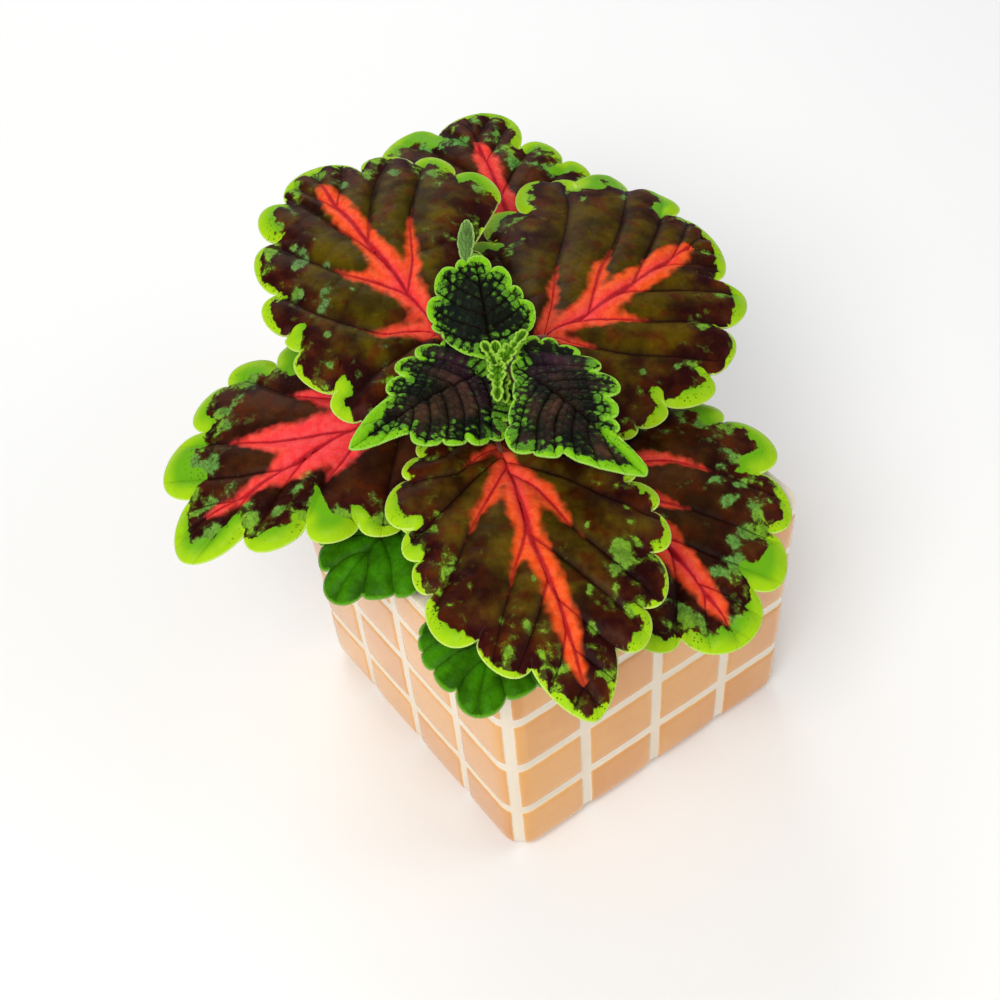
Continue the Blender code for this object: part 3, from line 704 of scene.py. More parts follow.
def flameField(u, v, spec):
    # how far inside the red centre each place is, in millimetres, with the branches run softly together
    steps, extra, soft = (bladeShape[k] for k in ("pathSteps", "flameExtra", "flameSoft"))
    gap, _, _ = pathDistance(u, v, smoothPath(spec["midrib"], steps))
    places, widths = zip(*spec["flame"])
    wide = np.interp(u, places, widths, left=bladeShape["outside"], right=bladeShape["outside"])
    total = np.exp((wide + extra * np.clip(wide, 0, 1) - gap) * soft)
    for side in ("left", "right"):
        for i, (share, width) in spec.get(side + "Reds", {}).items():
            gap, place, _ = pathDistance(u, v, smoothPath(spec[side + "Ribs"][i], steps))
            near = np.clip(place / share, 0, 1.3)
            total += np.exp(((width + extra) * (1 - near ** 2.4) - 0.4 * near - gap) * soft)
    return np.log(total + 1e-6) / soft


def blotField(u, v, spec):
    total = np.zeros(len(u))
    for along, across, wide, high in spec.get("blots", ()):
        total = np.maximum(total, np.exp(-((u - along) / wide) ** 2 - ((v - across) / high) ** 2))
    return total


def quiltField(u, v, spec, seedStep, seedAside, seed):
    # pillows between the veins: cells around points set in pairs beside every rib
    rng = np.random.default_rng(seed)
    seeds = []
    for points in (spec["midrib"], *spec["leftRibs"], *spec["rightRibs"]):
        path = smoothPath(points, bladeShape["pathSteps"])
        size = np.hypot(*(path[1:] - path[:-1]).T)
        run = np.concatenate(((0,), np.cumsum(size)))
        for place in np.arange(seedStep * 0.4, run[-1] + seedStep, seedStep):
            spot = np.array([np.interp(place, run, path[:, i]) for i in (0, 1)])
            ahead = np.array([np.interp(place + 0.5, run, path[:, i]) for i in (0, 1)]) - spot
            if np.hypot(*ahead) < 1e-3:
                continue
            side = np.array((-ahead[1], ahead[0])) / np.hypot(*ahead)
            for sign in (-1, 1):
                seeds.append(spot + side * sign * seedAside + rng.normal(0, seedStep * 0.09, 2))
    seeds = np.array(seeds)
    kept = []
    for s in seeds:  # leave out seeds that crowd an earlier one
        if all(np.hypot(*(s - k)) > seedStep * 0.62 for k in kept):
            kept.append(s)
    kept = np.array(kept)
    away = np.sqrt((u[:, None] - kept[:, 0]) ** 2 + (v[:, None] - kept[:, 1]) ** 2)
    nearest = np.partition(away, 1, axis=1)
    return 1 - np.exp(-(nearest[:, 1] - nearest[:, 0]) / (seedStep * 0.30))


def bladeGrid(name, rings, count, materials):
    # a flat disc of rings and spokes, with each point's share of the way out and the number of its spoke
    bm = bmesh.new()
    row = [bm.verts.new((i / rings, 0, 0)) for i in range(rings + 1)]
    spokes = [bm.edges.new(pair) for pair in zip(row, row[1:])]
    bmesh.ops.spin(bm, geom=row + spokes, axis=(0, 0, 1), cent=(0, 0, 0), angle=2 * math.pi, steps=count,
                   use_merge=True)
    bmesh.ops.remove_doubles(bm, verts=bm.verts, dist=2e-5)
    bmesh.ops.recalc_face_normals(bm, faces=bm.faces)
    if bm.faces[:][0].normal.z < 0:
        bmesh.ops.reverse_faces(bm, faces=bm.faces)
    blade = addPiece(name, bm, materials)
    flat = np.empty(len(blade.data.vertices) * 3, np.float32)
    blade.data.vertices.foreach_get("co", flat)
    flat = flat.reshape(-1, 3).astype(float)
    ring = np.hypot(flat[:, 0], flat[:, 1])
    ring = ring * (1.3 - 0.3 * ring)  # rings lie closer together towards the edge
    turn = np.round(np.arctan2(flat[:, 1], flat[:, 0]) / (2 * math.pi) * count).astype(int) % count
    return blade, ring, turn


def bladeWall(blade, edgeGap, style):
    # real thickness, thinner towards the edge
    group = blade.vertex_groups.new(name="thick")
    weights = np.round(style["thin"] + (1 - style["thin"]) * np.clip(edgeGap / bladeShape["thinReach"], 0, 1), 1)
    for weight in np.unique(weights):
        group.add(np.nonzero(weights == weight)[0].tolist(), float(weight), "REPLACE")
    wall = blade.modifiers.new("wall", "SOLIDIFY")
    wall.thickness = style["thick"] * mm
    wall.offset = 0.0
    wall.vertex_group = "thick"
    wall.thickness_vertex_group = 0.2
    wall.material_offset = 1


def makeBlade(name, spec, edge, style, materials):
    middle = np.array((style["centre"] * spec["length"], 0.0))
    rings = max(10, round(max(np.hypot(*(edge[:, :2] - middle).T)) / style["spacing"]))
    count = len(edge)
    blade, ring, turn = bladeGrid(name, rings, count, materials)
    # rings follow the edge, and a softened copy of it further in
    reach = bladeShape["blur"]
    padded = np.vstack((edge[-reach:], edge, edge[:reach]))
    soft = np.array([padded[i:i + 2 * reach + 1, :2].mean(axis=0) for i in range(count)])
    share = (ring ** 3)[:, None]
    rim = soft[turn] * (1 - share) + edge[turn, :2] * share
    u, v = (middle + (rim - middle) * ring[:, None]).T
    # distances to the edge and the veins
    edgeGap, _, _ = pathDistance(u, v, np.vstack((edge[:, :2], edge[:1, :2])))
    edgeGap[ring > 0.9999] = 0.0
    midGap, _, side = pathDistance(u, v, stretchPath(spec["midrib"], 20.0, 20.0))
    phaseLeft, gapLeft = ribFields(u, v, spec["leftRibs"], 1)
    phaseRight, gapRight = ribFields(u, v, spec["rightRibs"], -1)
    phase = np.where(side > 0, phaseLeft, phaseRight)
    gap = np.where(side > 0, gapLeft, gapRight)
    toRib = np.abs(phase - np.round(phase))
    quilt = quiltField(u, v, spec, style["seedStep"], style["seedAside"], style["seed"])
    lobe = edge[turn, 2]
    low, high = spec["rim"]
    rimField = edgeGap - (low + high * lobe * edge[turn, 3])
    finger = np.sin(math.pi * toRib) * np.clip(gap / bladeShape["fingerGap"], 0, 1)
    # relief: pillows, fingers between the ribs, grooves along the veins, and a waved and drooping edge
    inner = np.clip(edgeGap / style["border"], 0, 1)
    inner = inner * inner * (3 - 2 * inner)
    lift = style["quilt"] * quilt * (0.25 + 0.75 * inner) + style["finger"] * finger * inner
    lift -= style["groove"] * np.exp(-(toRib * gap / style["ribWide"]) ** 2) * inner
    lift -= style["midGroove"] * np.exp(-(midGap / (style["ribWide"] * 1.3)) ** 2) * inner
    near = np.clip(1 - edgeGap / style["curlReach"], 0, 1)
    lift += style["ruffle"] * (lobe - 0.6) * near * ring
    lift -= style["droop"] * near ** 2
    wave = np.sin(u / spec["length"] * bladeShape["waveTurns"] + style["seed"]) * np.sign(v)
    lift += style["wave"] * wave * np.clip(np.abs(v) / bladeShape["waveReach"], 0, 1)
    mesh = blade.data
    mesh.vertices.foreach_set("co", bladeSpots(spec, u, v, lift).astype(np.float32).ravel())
    fields = dict(leafPlace=(u, v, np.full(len(u), style["seed"] * 37.0)),
                  leafEdge=(edgeGap, rimField, flameField(u, v, spec)), leafLeft=(side * midGap, phaseLeft, gapLeft),
                  leafRight=(quilt, phaseRight, gapRight), leafMore=(blotField(u, v, spec), finger, ring))
    for label, columns in fields.items():
        layer = mesh.attributes.new(label, "FLOAT_VECTOR", "POINT")
        layer.data.foreach_set("vector", np.column_stack(columns).astype(np.float32).ravel())
    bladeWall(blade, edgeGap, style)
    return blade


stalkShape = dict(radius=(1.3, 0.6), sides=16, steps=18, ribReach=0.62, endRadius=0.28, sink=0.45, fullLength=45.0)


def stalkPath(spec):
    share = stemShare(spec["node"])
    centre = stemSpot(share)
    base = Vector(spec["base"]) * mm
    along, _, out = bladeFrame(spec)
    away = Vector((base.x - centre.x, base.y - centre.y, 0.0))
    reach = away.length
    away.normalize()
    start = centre + away * (stemRadius(share) * 0.6)
    sink = out * (stalkShape["sink"] * mm)
    first = start + away * reach * 0.35
    second = base - along * reach * 0.3
    points = []
    for i in range(stalkShape["steps"] + 1):
        t = i / stalkShape["steps"]
        spot = (start * (1 - t) ** 3 + first * 3 * t * (1 - t) ** 2 + second * 3 * t * t * (1 - t)
                + base * t ** 3)
        points.append(spot - sink * t)
    return points


def makeStalk(name, spec, mat, depth):
    points = stalkPath(spec)
    bare = len(points)
    thin = min(1.0, spec["length"] / stalkShape["fullLength"])
    midrib = smoothPath(spec["midrib"], bladeShape["pathSteps"])
    places = np.linspace(0.03, stalkShape["ribReach"], 16) * spec["length"]
    aside = np.interp(places, midrib[:, 0], midrib[:, 1])
    low, high = (r * mm * thin for r in stalkShape["radius"])
    end = stalkShape["endRadius"] * mm * thin
    below = depth + 0.55 * np.linspace(high, end, len(places)) / mm
    spots = bladeSpots(spec, places, aside, -below)
    points += [Vector(s) for s in spots]
    total = len(points) - 1
    split = (bare - 1) / total

    def radius(share, turn):
        if share < split:
            size = low + (high - low) * share / split
            return size * (1 - 0.16 * max(0.0, math.cos(turn)) ** 6)
        return high + (end - high) * (share - split) / (1 - split)

    _, _, out = bladeFrame(spec)
    section = dict(sides=stalkShape["sides"], radius=radius, side=Vector((0, 0, 1)) if abs(out.z) > 0.1 else out)
    return addPiece(name, sweep(points, section), [mat])


def joinPieces(main, others):
    # blade walls made real, then the stalk joined to it as one piece
    graph = bpy.context.evaluated_depsgraph_get()
    mesh = bpy.data.meshes.new_from_object(main.evaluated_get(graph), preserve_all_data_layers=True,
                                           depsgraph=graph)
    main.modifiers.clear()
    main.vertex_groups.clear()
    main.data = mesh
    with bpy.context.temp_override(active_object=main, object=main, selected_objects=[main] + others,
                                   selected_editable_objects=[main] + others):
        bpy.ops.object.join()
    return main


leafInputs = [(label, "Vector") for label in ("Place", "Edge", "Left", "Right", "More")]
leafInputs += [(label, "Color") for label in ("Inner", "Outer", "Middle", "Margin", "MarginEdge", "Patch", "PatchIn")]
# among the float inputs are the strength of the painted edge highlight and of the olive middle, which is partly a
# painted glow of light through the leaf
leafInputs += [(label, "Float") for label in ("Olive", "Speckle", "Pink", "Fine", "Bead", "Dull", "Reach", "Dark",
                                              "Ragged", "Lines", "Soft", "Purple", "Pale")]
# noise scales in shares of a millimetre, and the colours that every leaf has in common
grains = dict(warp=0.35, broad=0.11, small=0.55, net=0.62, ragged=0.36, rust=0.19, patch=0.24, cluster=0.085,
              speck=1.25, lick=0.27, mottle=0.6, hair=1.6, hairy=0.8)
# one of these colours is the painted highlight along the very edge of the blades
patternTints = dict(purple=tint(52, 12, 44), patchNet=tint(50, 84, 34), patchLow=tint(58, 92, 30),
                    edgeLine=tint(238, 244, 190), orange=tint(226, 78, 24), pink=tint(232, 58, 60),
                    redVein=tint(206, 22, 42), redNet=tint(176, 26, 10), orangeFleck=tint(240, 112, 60),
                    pinkFleck=tint(238, 92, 92), darkLine=tint(22, 5, 6), redLine=tint(140, 6, 26),
                    dull=tint(142, 120, 104), hair=tint(214, 214, 190))


def separate(vector):
    node = addNode(vector.socket.id_data, "ShaderNodeSeparateXYZ", {"Vector": vector})
    return [Signal(s) for s in node.outputs]


def leafFields(given):
    # what the layers of the pattern share: distances on the blade, its veins, and its irregular grain
    on = SimpleNamespace()
    on.edge, on.rim, on.flame = separate(given["Edge"])
    side, phaseLeft, gapLeft = separate(given["Left"])
    on.quilt, phaseRight, gapRight = separate(given["Right"])
    on.along = separate(given["Place"])[0]
    on.blot, on.finger, _ = separate(given["More"])
    on.fine = signal("ShaderNodeVectorMath", {0: given["Place"], "Scale": given["Fine"]}, dict(operation="SCALE"))
    onLeft = calc("GREATER_THAN", side, 0.0)
    left = abs(phaseLeft - round(phaseLeft)) * gapLeft * onLeft
    gap = left + abs(phaseRight - round(phaseRight)) * gapRight * (1.0 - onLeft)
    wide = calc("MULTIPLY_ADD", on.edge, 0.011, 0.10)
    on.line = calc("MAXIMUM", ease(gap / wide, 2.2, 0.6), ease(abs(side) / (wide * 1.5), 2.0, 0.6))
    on.softLine = calc("MAXIMUM", ease(gap, 1.5, 0.0), ease(abs(side), 1.8, 0.0))
    # broad clouds, small clouds, small cells and a fine net
    bend = {0: cloud(on.fine, grains["warp"], 3.0, output="Color"), 1: (1.6, 1.6, 0.0), 2: on.fine}
    on.warp = signal("ShaderNodeVectorMath", bend, dict(operation="MULTIPLY_ADD"))
    on.broad = cloud(given["Place"], grains["broad"], 3.0)
    on.small = cloud(on.warp, grains["small"], 3.0, 0.65)
    on.net = cells(on.warp, grains["net"], "DISTANCE_TO_EDGE")
    on.netLine = ease(on.net, 0.12, 0.0)
    on.specks = ease(cells(given["Place"], grains["speck"]), 0.30, 0.18) * ease(on.broad, 0.46, 0.56)
    return on


def darkField(on, given):
    # olive middle: partly the leaf's own colour, partly a painted glow of light shining through the blade
    oliveGlow = ease(on.edge + swing(on.broad, 30.0), 3.0, 15.0) * given["Olive"]
    field = blend(oliveGlow, given["Outer"], given["Inner"])
    rust = ease(cloud(given["Place"], grains["rust"], 2.0), 0.48, 0.66)
    field = blend(rust * 0.75, field, given["Middle"])
    field = blend(on.softLine * 0.45, field, given["Outer"])
    purple = ease(on.along, 13.0, 1.0) * (ease(on.edge, 2.0, 6.0) * given["Purple"])
    field = blend(purple, field, patternTints["purple"])
    # painted shade: the relief's pillows and the fingers between ribs lighter, the hollows and ribs darker; the two
    # clouds add random tone and the net is a little darker
    paintedShadeAndTone = calc("MULTIPLY_ADD", on.finger, 0.26, calc("MULTIPLY_ADD", on.quilt, 0.22, 0.58))
    paintedShadeAndTone = paintedShadeAndTone * calc("MULTIPLY_ADD", on.small, 0.7, 0.65)
    paintedShadeAndTone = paintedShadeAndTone * ease(on.broad, 0.36, 0.66, 0.55, 1.30)
    paintedShadeAndTone = paintedShadeAndTone * calc("MULTIPLY_ADD", on.netLine, -0.10, 1.0) * given["Dark"]
    return blend(1.0, field, signal("ShaderNodeCombineXYZ", {0: paintedShadeAndTone, 1: paintedShadeAndTone, 2: paintedShadeAndTone}), "MULTIPLY")


def greenPatches(on, given, colour):
    # thicker towards the edge
    reach = ease(on.edge / given["Reach"], 1.0, 0.08)
    grain = cloud(on.warp, grains["patch"], 1.5, 0.45) + swing(on.small, 0.62) + (on.quilt - 0.55) * given["Bead"]
    cluster = ease(cloud(given["Place"], grains["cluster"], 1.0), 0.42, 0.62, 0.75, 1.15)
    needed = reach * given["Speckle"] * cluster
    needed = calc("MULTIPLY_ADD", needed, -0.38, 0.86) - on.blot * 0.42
    over = (grain - needed) / given["Soft"]
    patch = calc("MAXIMUM", ease(over, -0.010, 0.035), ease(over, -0.045, 0.0, 0.0, 0.20))
    green = blend(ease(on.edge, 9.0, 2.0), given["PatchIn"], given["Patch"])
    green = blend(on.netLine * 0.35, green, patternTints["patchNet"])
    green = blend(ease(on.small, 0.62, 0.38, 0.0, 0.55), green, patternTints["patchLow"])
    return blend(patch * (0.92 - on.specks * 0.7), colour, green)


def greenEdge(on, given, colour):
    # bright green margin, with a thin pale line along the very edge that is a painted highlight
    wobble = swing(on.small, 2.4) + swing(cloud(on.warp, grains["ragged"], 1.5), 5.0)
    lime = on.rim + wobble * given["Ragged"] + swing(on.broad, 5.5) * given["Ragged"]
    lime = ease(lime, 0.30, -0.15) * (1.0 - on.specks * ease(on.rim, -3.0, -0.6) * 0.8)
    green = blend(ease(on.edge, 4.5, 0.3), given["Margin"], given["MarginEdge"])
    green = blend(on.small * 0.55, green, given["Margin"])
    # painted highlight: a thin pale line along the very edge of the blade
    pale = blend(0.35, given["MarginEdge"], patternTints["edgeLine"])
    colour = blend(ease(on.edge, 0.42, 0.12) * given["Pale"], blend(lime, colour, green), pale)
    return colour, lime


def redCentre(on, given, colour, lime):
    # the red centre, and the veins on it and off it
    lick = swing(on.small, 0.5) + swing(cloud(given["Place"], grains["lick"], 1.5), 3.6)
    red = ease(on.flame + lick, -1.2, 0.9)
    warm = ease(on.flame, 0.6, 3.4) * 0.75 + given["Pink"] + ease(on.along, 34.0, 4.0, 0.0, 0.35)
    warm = calc("SUBTRACT", warm, on.small * 0.5, clamp=True)
    centre = blend(warm, patternTints["orange"], patternTints["pink"])
    centre = blend(on.softLine * 0.26, centre, patternTints["redVein"])
    centre = blend(on.netLine * 0.22, centre, patternTints["redNet"])
    mottle = ease(cloud(given["Place"], grains["mottle"], 2.0), 0.40, 0.62, 0.0, 0.35)
    centre = blend(mottle, centre, blend(warm, patternTints["orangeFleck"], patternTints["pinkFleck"]))
    colour = blend(red, colour, centre)
    onDark = on.line * 0.8 * (1.0 - red) * (1.0 - lime * 0.9) * given["Lines"]
    colour = blend(onDark, colour, patternTints["darkLine"])
    return blend(on.line * red * 0.75, colour, patternTints["redLine"])


def leafPatternGroup():
    outputs = [("Color", "Color"), ("Height", "Float"), ("Roughness", "Float")]
    group, given, result = newGroup("leafPattern", leafInputs, outputs)
    on = leafFields(given)
    colour = greenPatches(on, given, darkField(on, given))
    colour, lime = greenEdge(on, given, colour)
    colour = redCentre(on, given, colour, lime)
    colour = blend(given["Dull"], colour, blend(0.5, colour, patternTints["dull"]))
    # tiny pale hairs
    hairy = calc("GREATER_THAN", cloud(given["Place"], grains["hairy"], 1.0), 0.60)
    hair = ease(cells(on.fine, grains["hair"]), 0.10, 0.04) * hairy
    colour = blend(hair * 0.30, colour, patternTints["hair"])
    height = ease(on.net, 0.0, 0.34) * calc("MULTIPLY_ADD", given["Bead"], 0.6, 0.12)
    height = height + on.small * 0.22 - on.line * 0.45 + hair * 0.5
    rough = calc("MULTIPLY_ADD", on.small, 0.25, 0.30) - lime * 0.06
    for socket, value in zip(result, (colour, height, rough)):
        plug(socket, value)
    return group


def leafMaterial(name, group, depth, look):
    mat, shader = newMaterial(name, specular=0.04)
    values = {label: attribute(shader, "leaf" + label, "Vector") for label, kind in leafInputs if kind == "Vector"}
    node = addNode(shader.id_data, "ShaderNodeGroup", {}, dict(node_tree=group))
    for label, value in {**plainLook, **look, **values}.items():
        plug(node.inputs[label], value)
    colour, height, rough = (Signal(s) for s in node.outputs)
    wire(shader, colour, rough, height, depth)
    return mat


def stalkMaterial(name, low, high):
    mat, shader = newMaterial(name, specular=0.4, sheen=0.1)
    place = objectPlace(shader)
    broad = cloud(place, 160.0, 3.0)
    thread = cloud(signal("ShaderNodeMapping", {"Vector": place, "Scale": (900.0, 900.0, 120.0)}), 1.0, 2.0)
    colour = blend(ease(broad, 0.35, 0.65), low, high)
    colour = blend(thread * 0.35, colour, tint(70, 44, 34))
    wire(shader, colour, calc("MULTIPLY_ADD", broad, 0.3, 0.32), thread, 0.00012)
    return mat


# How strong each layer of the pattern is where a leaf's look doesn't say
plainLook = dict(Olive=1.0, Speckle=0.0, Pink=0.0, Bead=0.0, Dark=1.0, Purple=0.0, Dull=0.0)
# What the leaves of one kind share: first seed less the leaf's place in the list, slot, stalk, the stalk's depth
# under the blade, step along the edge, relief depth on top and below, shape, style of the relief and look
leafKinds = dict(
    large=dict(
        seed=1, slot="variegated_leaf", stalk="red", stalkDepth=0.75, step=1.05, depths=(0.00015, 0.00030),
        shape=dict(arch=0.06, hang=0.25),
        style=dict(centre=0.4, spacing=0.85, seedStep=6.0, seedAside=3.0, quilt=0.22, finger=0.9, groove=0.45,
                   midGroove=0.5, ribWide=0.8, border=2.5, ruffle=0.7, curlReach=8.0, droop=0.8, wave=0.35,
                   thick=0.55, thin=0.4),
        look=dict(Fine=1.0, Bead=0.05, Reach=19.0, Ragged=0.75, Lines=0.85, Soft=2.4, Pale=0.7,
                  Middle=tint(76, 28, 4), Outer=tint(52, 12, 9), Margin=tint(98, 160, 20),
                  MarginEdge=tint(170, 208, 18), Patch=tint(126, 174, 36)),
        under=dict(Inner=tint(108, 74, 50), Middle=tint(104, 60, 50), Outer=tint(104, 52, 50), Dull=0.6)),
    low=dict(
        seed=5, slot="green_leaf", stalk="green", stalkDepth=0.8, step=0.8, depths=(0.00020, 0.00026),
        shape=dict(roll=0, arch=0.06, hang=0.3, lobes=6, ribs=5, lobeDepth=0.24, rim=(0.1, 0.5)),
        style=dict(centre=0.4, spacing=0.8, seedStep=3.6, seedAside=1.9, quilt=0.2, finger=0.4, groove=0.30,
                   midGroove=0.45, ribWide=0.6, border=1.5, ruffle=0.4, curlReach=5.0, droop=0.4, wave=0.2,
                   thick=0.55, thin=0.5),
        look=dict(Fine=1.4, Reach=10.0, Ragged=0.2, Lines=0.28, Soft=2.0, Pale=0.4, Inner=tint(40, 104, 4),
                  Middle=tint(52, 112, 4), Outer=tint(58, 122, 4), Margin=tint(52, 120, 8),
                  MarginEdge=tint(88, 150, 16), Patch=tint(70, 140, 20), PatchIn=tint(70, 140, 20)),
        under=dict(Inner=tint(92, 134, 64), Middle=tint(94, 138, 62), Outer=tint(98, 142, 66), Dull=0.4)),
    young=dict(
        seed=5, slot="young_leaf", stalk="red", stalkDepth=0.8, step=0.6, depths=(0.00018, 0.00020),
        shape=dict(arch=0.06, hang=0.3, rim=(0.25, 0.8)),
        style=dict(centre=0.4, spacing=0.5, seedStep=2.1, seedAside=1.05, quilt=0.38, finger=0.3, groove=0.32,
                   midGroove=0.6, ribWide=0.5, border=0.9, ruffle=0.6, curlReach=3.0, droop=-0.5, wave=0.3,
                   thick=0.5, thin=0.8),
        look=dict(Olive=0.8, Speckle=1.1, Fine=2.1, Bead=0.55, Reach=6.0, Dark=1.05, Ragged=0.4, Lines=1.0,
                  Soft=3.4, Pale=0.4, Outer=tint(20, 26, 14), Margin=tint(76, 142, 10),
                  MarginEdge=tint(134, 198, 24), Patch=tint(98, 160, 36), PatchIn=tint(44, 76, 36)),
        under=dict(Inner=tint(92, 70, 60), Middle=tint(88, 66, 58), Outer=tint(84, 62, 56), Dull=0.5)))
budStyle = dict(centre=0.45, spacing=0.16, seedStep=0.8, seedAside=0.42, quilt=0.14, finger=0.05, groove=0.06,
                midGroove=0.1, ribWide=0.3, border=0.25, ruffle=0.4, curlReach=0.8, droop=-0.2, wave=0.3, thick=0.5,
                thin=0.9)
tongueShape = dict(
    seed=61, step=0.28, lobeDepth=0.13, rim=(0.1, 0.2), depth=0.00008,
    style=dict(budStyle, centre=0.5, spacing=0.3, ruffle=0.15),
    look=dict(Speckle=0.3, Fine=3.0, Bead=0.1, Reach=2.0, Dark=1.2, Ragged=0.1, Lines=0.3, Soft=3.0, Pale=0.1,
              Inner=tint(88, 118, 60), Middle=tint(80, 112, 54), Outer=tint(96, 130, 64), Margin=tint(112, 150, 70),
              MarginEdge=tint(138, 176, 88), Patch=tint(96, 130, 64), PatchIn=tint(96, 130, 64)))
stalkTints = dict(red=(tint(120, 60, 50), tint(150, 96, 62)), green=(tint(96, 128, 46), tint(134, 120, 66)))


def makeTongue(name, parent, pattern):
    # the narrow pale end of a young leaf, standing up from its edge
    spec = dict(parent, **parent["tongue"], rim=tongueShape["rim"])
    ovalRibs(spec)
    edge = ovalEdge(spec, tongueShape["step"], tongueShape["lobeDepth"])
    pale = leafMaterial("paleTip", pattern, tongueShape["depth"], tongueShape["look"])
    style = dict(tongueShape["style"], seed=tongueShape["seed"])
    return joinPieces(makeBlade(name + "_tongue", spec, edge, style, [pale, pale]), [])


def makeLeaves(pattern):
    stalks = {key: stalkMaterial(key + "Stalk", *tints) for key, tints in stalkTints.items()}
    for i, (name, own) in enumerate(leaves.items()):
        kind = leafKinds[own["kind"]]
        spec = dict(kind["shape"], **own)
        if "midrib" not in spec:
            ovalRibs(spec)
        look = dict(kind["look"], **own.get("look", {}))
        top = leafMaterial(name + "Top", pattern, kind["depths"][0], look)
        under = leafMaterial(name + "Under", pattern, kind["depths"][1], dict(look, **kind["under"]))
        edge = lobedEdge(spec, kind["step"]) if "left" in spec else ovalEdge(spec, kind["step"], spec["lobeDepth"])
        blade = makeBlade(name + "_blade", spec, edge, dict(kind["style"], seed=i + kind["seed"]), [top, under])
        others = [makeStalk(name + "_stalk", spec, stalks[kind["stalk"]], kind["stalkDepth"])]
        if "tongue" in spec:
            others.append(makeTongue(name, spec, pattern))
        joinPieces(blade, others)
        settle(blade, name, kind["slot"])
        print("leaf", name, len(blade.data.polygons))


potShape = dict(width=90.0, baseWidth=86.5, height=71.0, corner=6.0, baseRound=4.5, wall=5.0, floor=6.0,
                sink=0.6, grout=1.15, shoulder=0.75, columns=(-22.3, 0.0, 22.3), rows=(18.2, 36.7, 55.2, 69.4),
                crown=0.22, crownReach=7.0, step=4.0, baseLevels=(0.7, 1.5, 2.5, 3.5), topLevel=69.45, wobble=0.10,
                waves=0.22, tighten=0.8,
                rim=((0.50, 69.9), (0.58, 70.3), (0.85, 70.65), (1.3, 70.9), (2.0, 71.0), (3.2, 71.0), (4.0, 70.8),
                     (4.55, 70.35), (4.85, 69.7), (5.0, 68.8)),
                inside=(60.0, 45.0, 30.0, 15.0, 9.0), bottom=((6.2, 7.0), (8.5, 6.1), (14.0, 6.0)), footCorner=2.2,
                foot=((3.6, 0.15), (4.6, 0.0), (7.0, 0.0), (8.0, 0.7), (20.0, 0.9)), bareFrom=4.0)
# where the wall is divided on each side of a grout line
groutOffsets = (-2.6, -1.9, -1.55, -1.2, -0.9, 0.0, 0.9, 1.2, 1.55, 1.9, 2.6)


def potHalf(z):
    share = z / potShape["height"]
    return (potShape["baseWidth"] + (potShape["width"] - potShape["baseWidth"]) * share) / 2


def fillStops(stops, widest):
    # the stops in order, with even ones added where they are far apart
    out = []
    for a, b in zip(stops, stops[1:]):
        steps = max(1, math.ceil((b - a) / widest - 1e-6))
        out += [a + (b - a) * i / steps for i in range(steps)]
    return out


def potMarks():
    # one quarter of the wall as (kind, value, place): kind flat or turn, place is the run from the corner's middle
    edge = potShape["width"] / 2 - potShape["corner"]
    arc = potShape["corner"] * math.pi / 4
    flats = sorted([-edge, edge] + [c + o for c in potShape["columns"] for o in groutOffsets])
    marks = [("flat", y, y + edge + arc) for y in fillStops(flats, potShape["step"])]
    turns = sorted([0.0, 2 * arc] + [arc + o for o in groutOffsets] + [0.9, 1.8, 2 * arc - 0.9, 2 * arc - 1.8])
    total = 2 * (edge + arc)
    marks += [("turn", t / potShape["corner"], (t + arc + 2 * edge) % total) for t in turns[:-1]]
    return marks


def potSpot(quarter, kind, value, half, corner):
    flat = half - corner
    if kind == "flat":
        spot = Vector((half, value * flat / (potShape["width"] / 2 - potShape["corner"]), 0.0))
        out = Vector((1.0, 0.0, 0.0))
    else:
        out = Vector((math.cos(value), math.sin(value), 0.0))
        spot = Vector((flat, flat, 0.0)) + out * corner
    turn = Matrix.Rotation(quarter * math.pi / 2, 3, "Z")
    return turn @ spot, turn @ out


def ringAt(marks, half, corner, z):
    return [(potSpot(q, kind, value, half, corner)[0] + Vector((0, 0, z))) * mm
            for q in range(4) for kind, value, _ in marks]


def ringEdges(ring):
    return [next(e for e in v.link_edges if e.other_vert(v) is after) for v, after in zip(ring, ring[1:] + ring[:1])]


def nextRing(bm, ring, spots):
    # a new ring of points drawn up from the last one
    made = bmesh.ops.extrude_edge_only(bm, edges=ringEdges(ring))["geom"]
    fresh = {g for g in made if isinstance(g, bmesh.types.BMVert)}
    above = [next(e.other_vert(v) for e in v.link_edges if e.other_vert(v) in fresh) for v in ring]
    for v, spot in zip(above, spots):
        v.co = spot
    return above


def firstRing(bm, spots):
    ring = [bm.verts.new(p) for p in spots]
    for pair in zip(ring, ring[1:] + ring[:1]):
        bm.edges.new(pair)
    return ring


def capRing(bm, ring):
    return bmesh.ops.contextual_create(bm, geom=ringEdges(ring))["faces"]


def rise(value, low, high):
    t = min(1.0, max(0.0, (value - low) / (high - low)))
    return t * t * (3 - 2 * t)


def tileAt(place, z, wobble):
    # how far up on a tile a spot of the wall is, 0 in the grout and 1 on top, and which tile it is
    side = 2 * (potShape["width"] / 2 - potShape["corner"] + potShape["corner"] * math.pi / 4)
    middle = side / 2
    lines = [0.0] + [middle + c for c in potShape["columns"]] + [side]
    across = min(abs(place - line) for line in lines)
    column = sum(place >= line for line in lines[1:-1])
    tall = min(abs(z - row) for row in potShape["rows"]) if z < potShape["rows"][-1] else 0.0
    row = sum(z >= r for r in potShape["rows"])
    low, high = potShape["grout"], potShape["grout"] + potShape["shoulder"]
    up = rise(across + wobble, low, high) * rise(tall + wobble, low, high)
    crown = sum(potShape["crown"] * max(0.0, 1 - gap / potShape["crownReach"]) ** 2 for gap in (across, tall))
    return up, column, row, crown


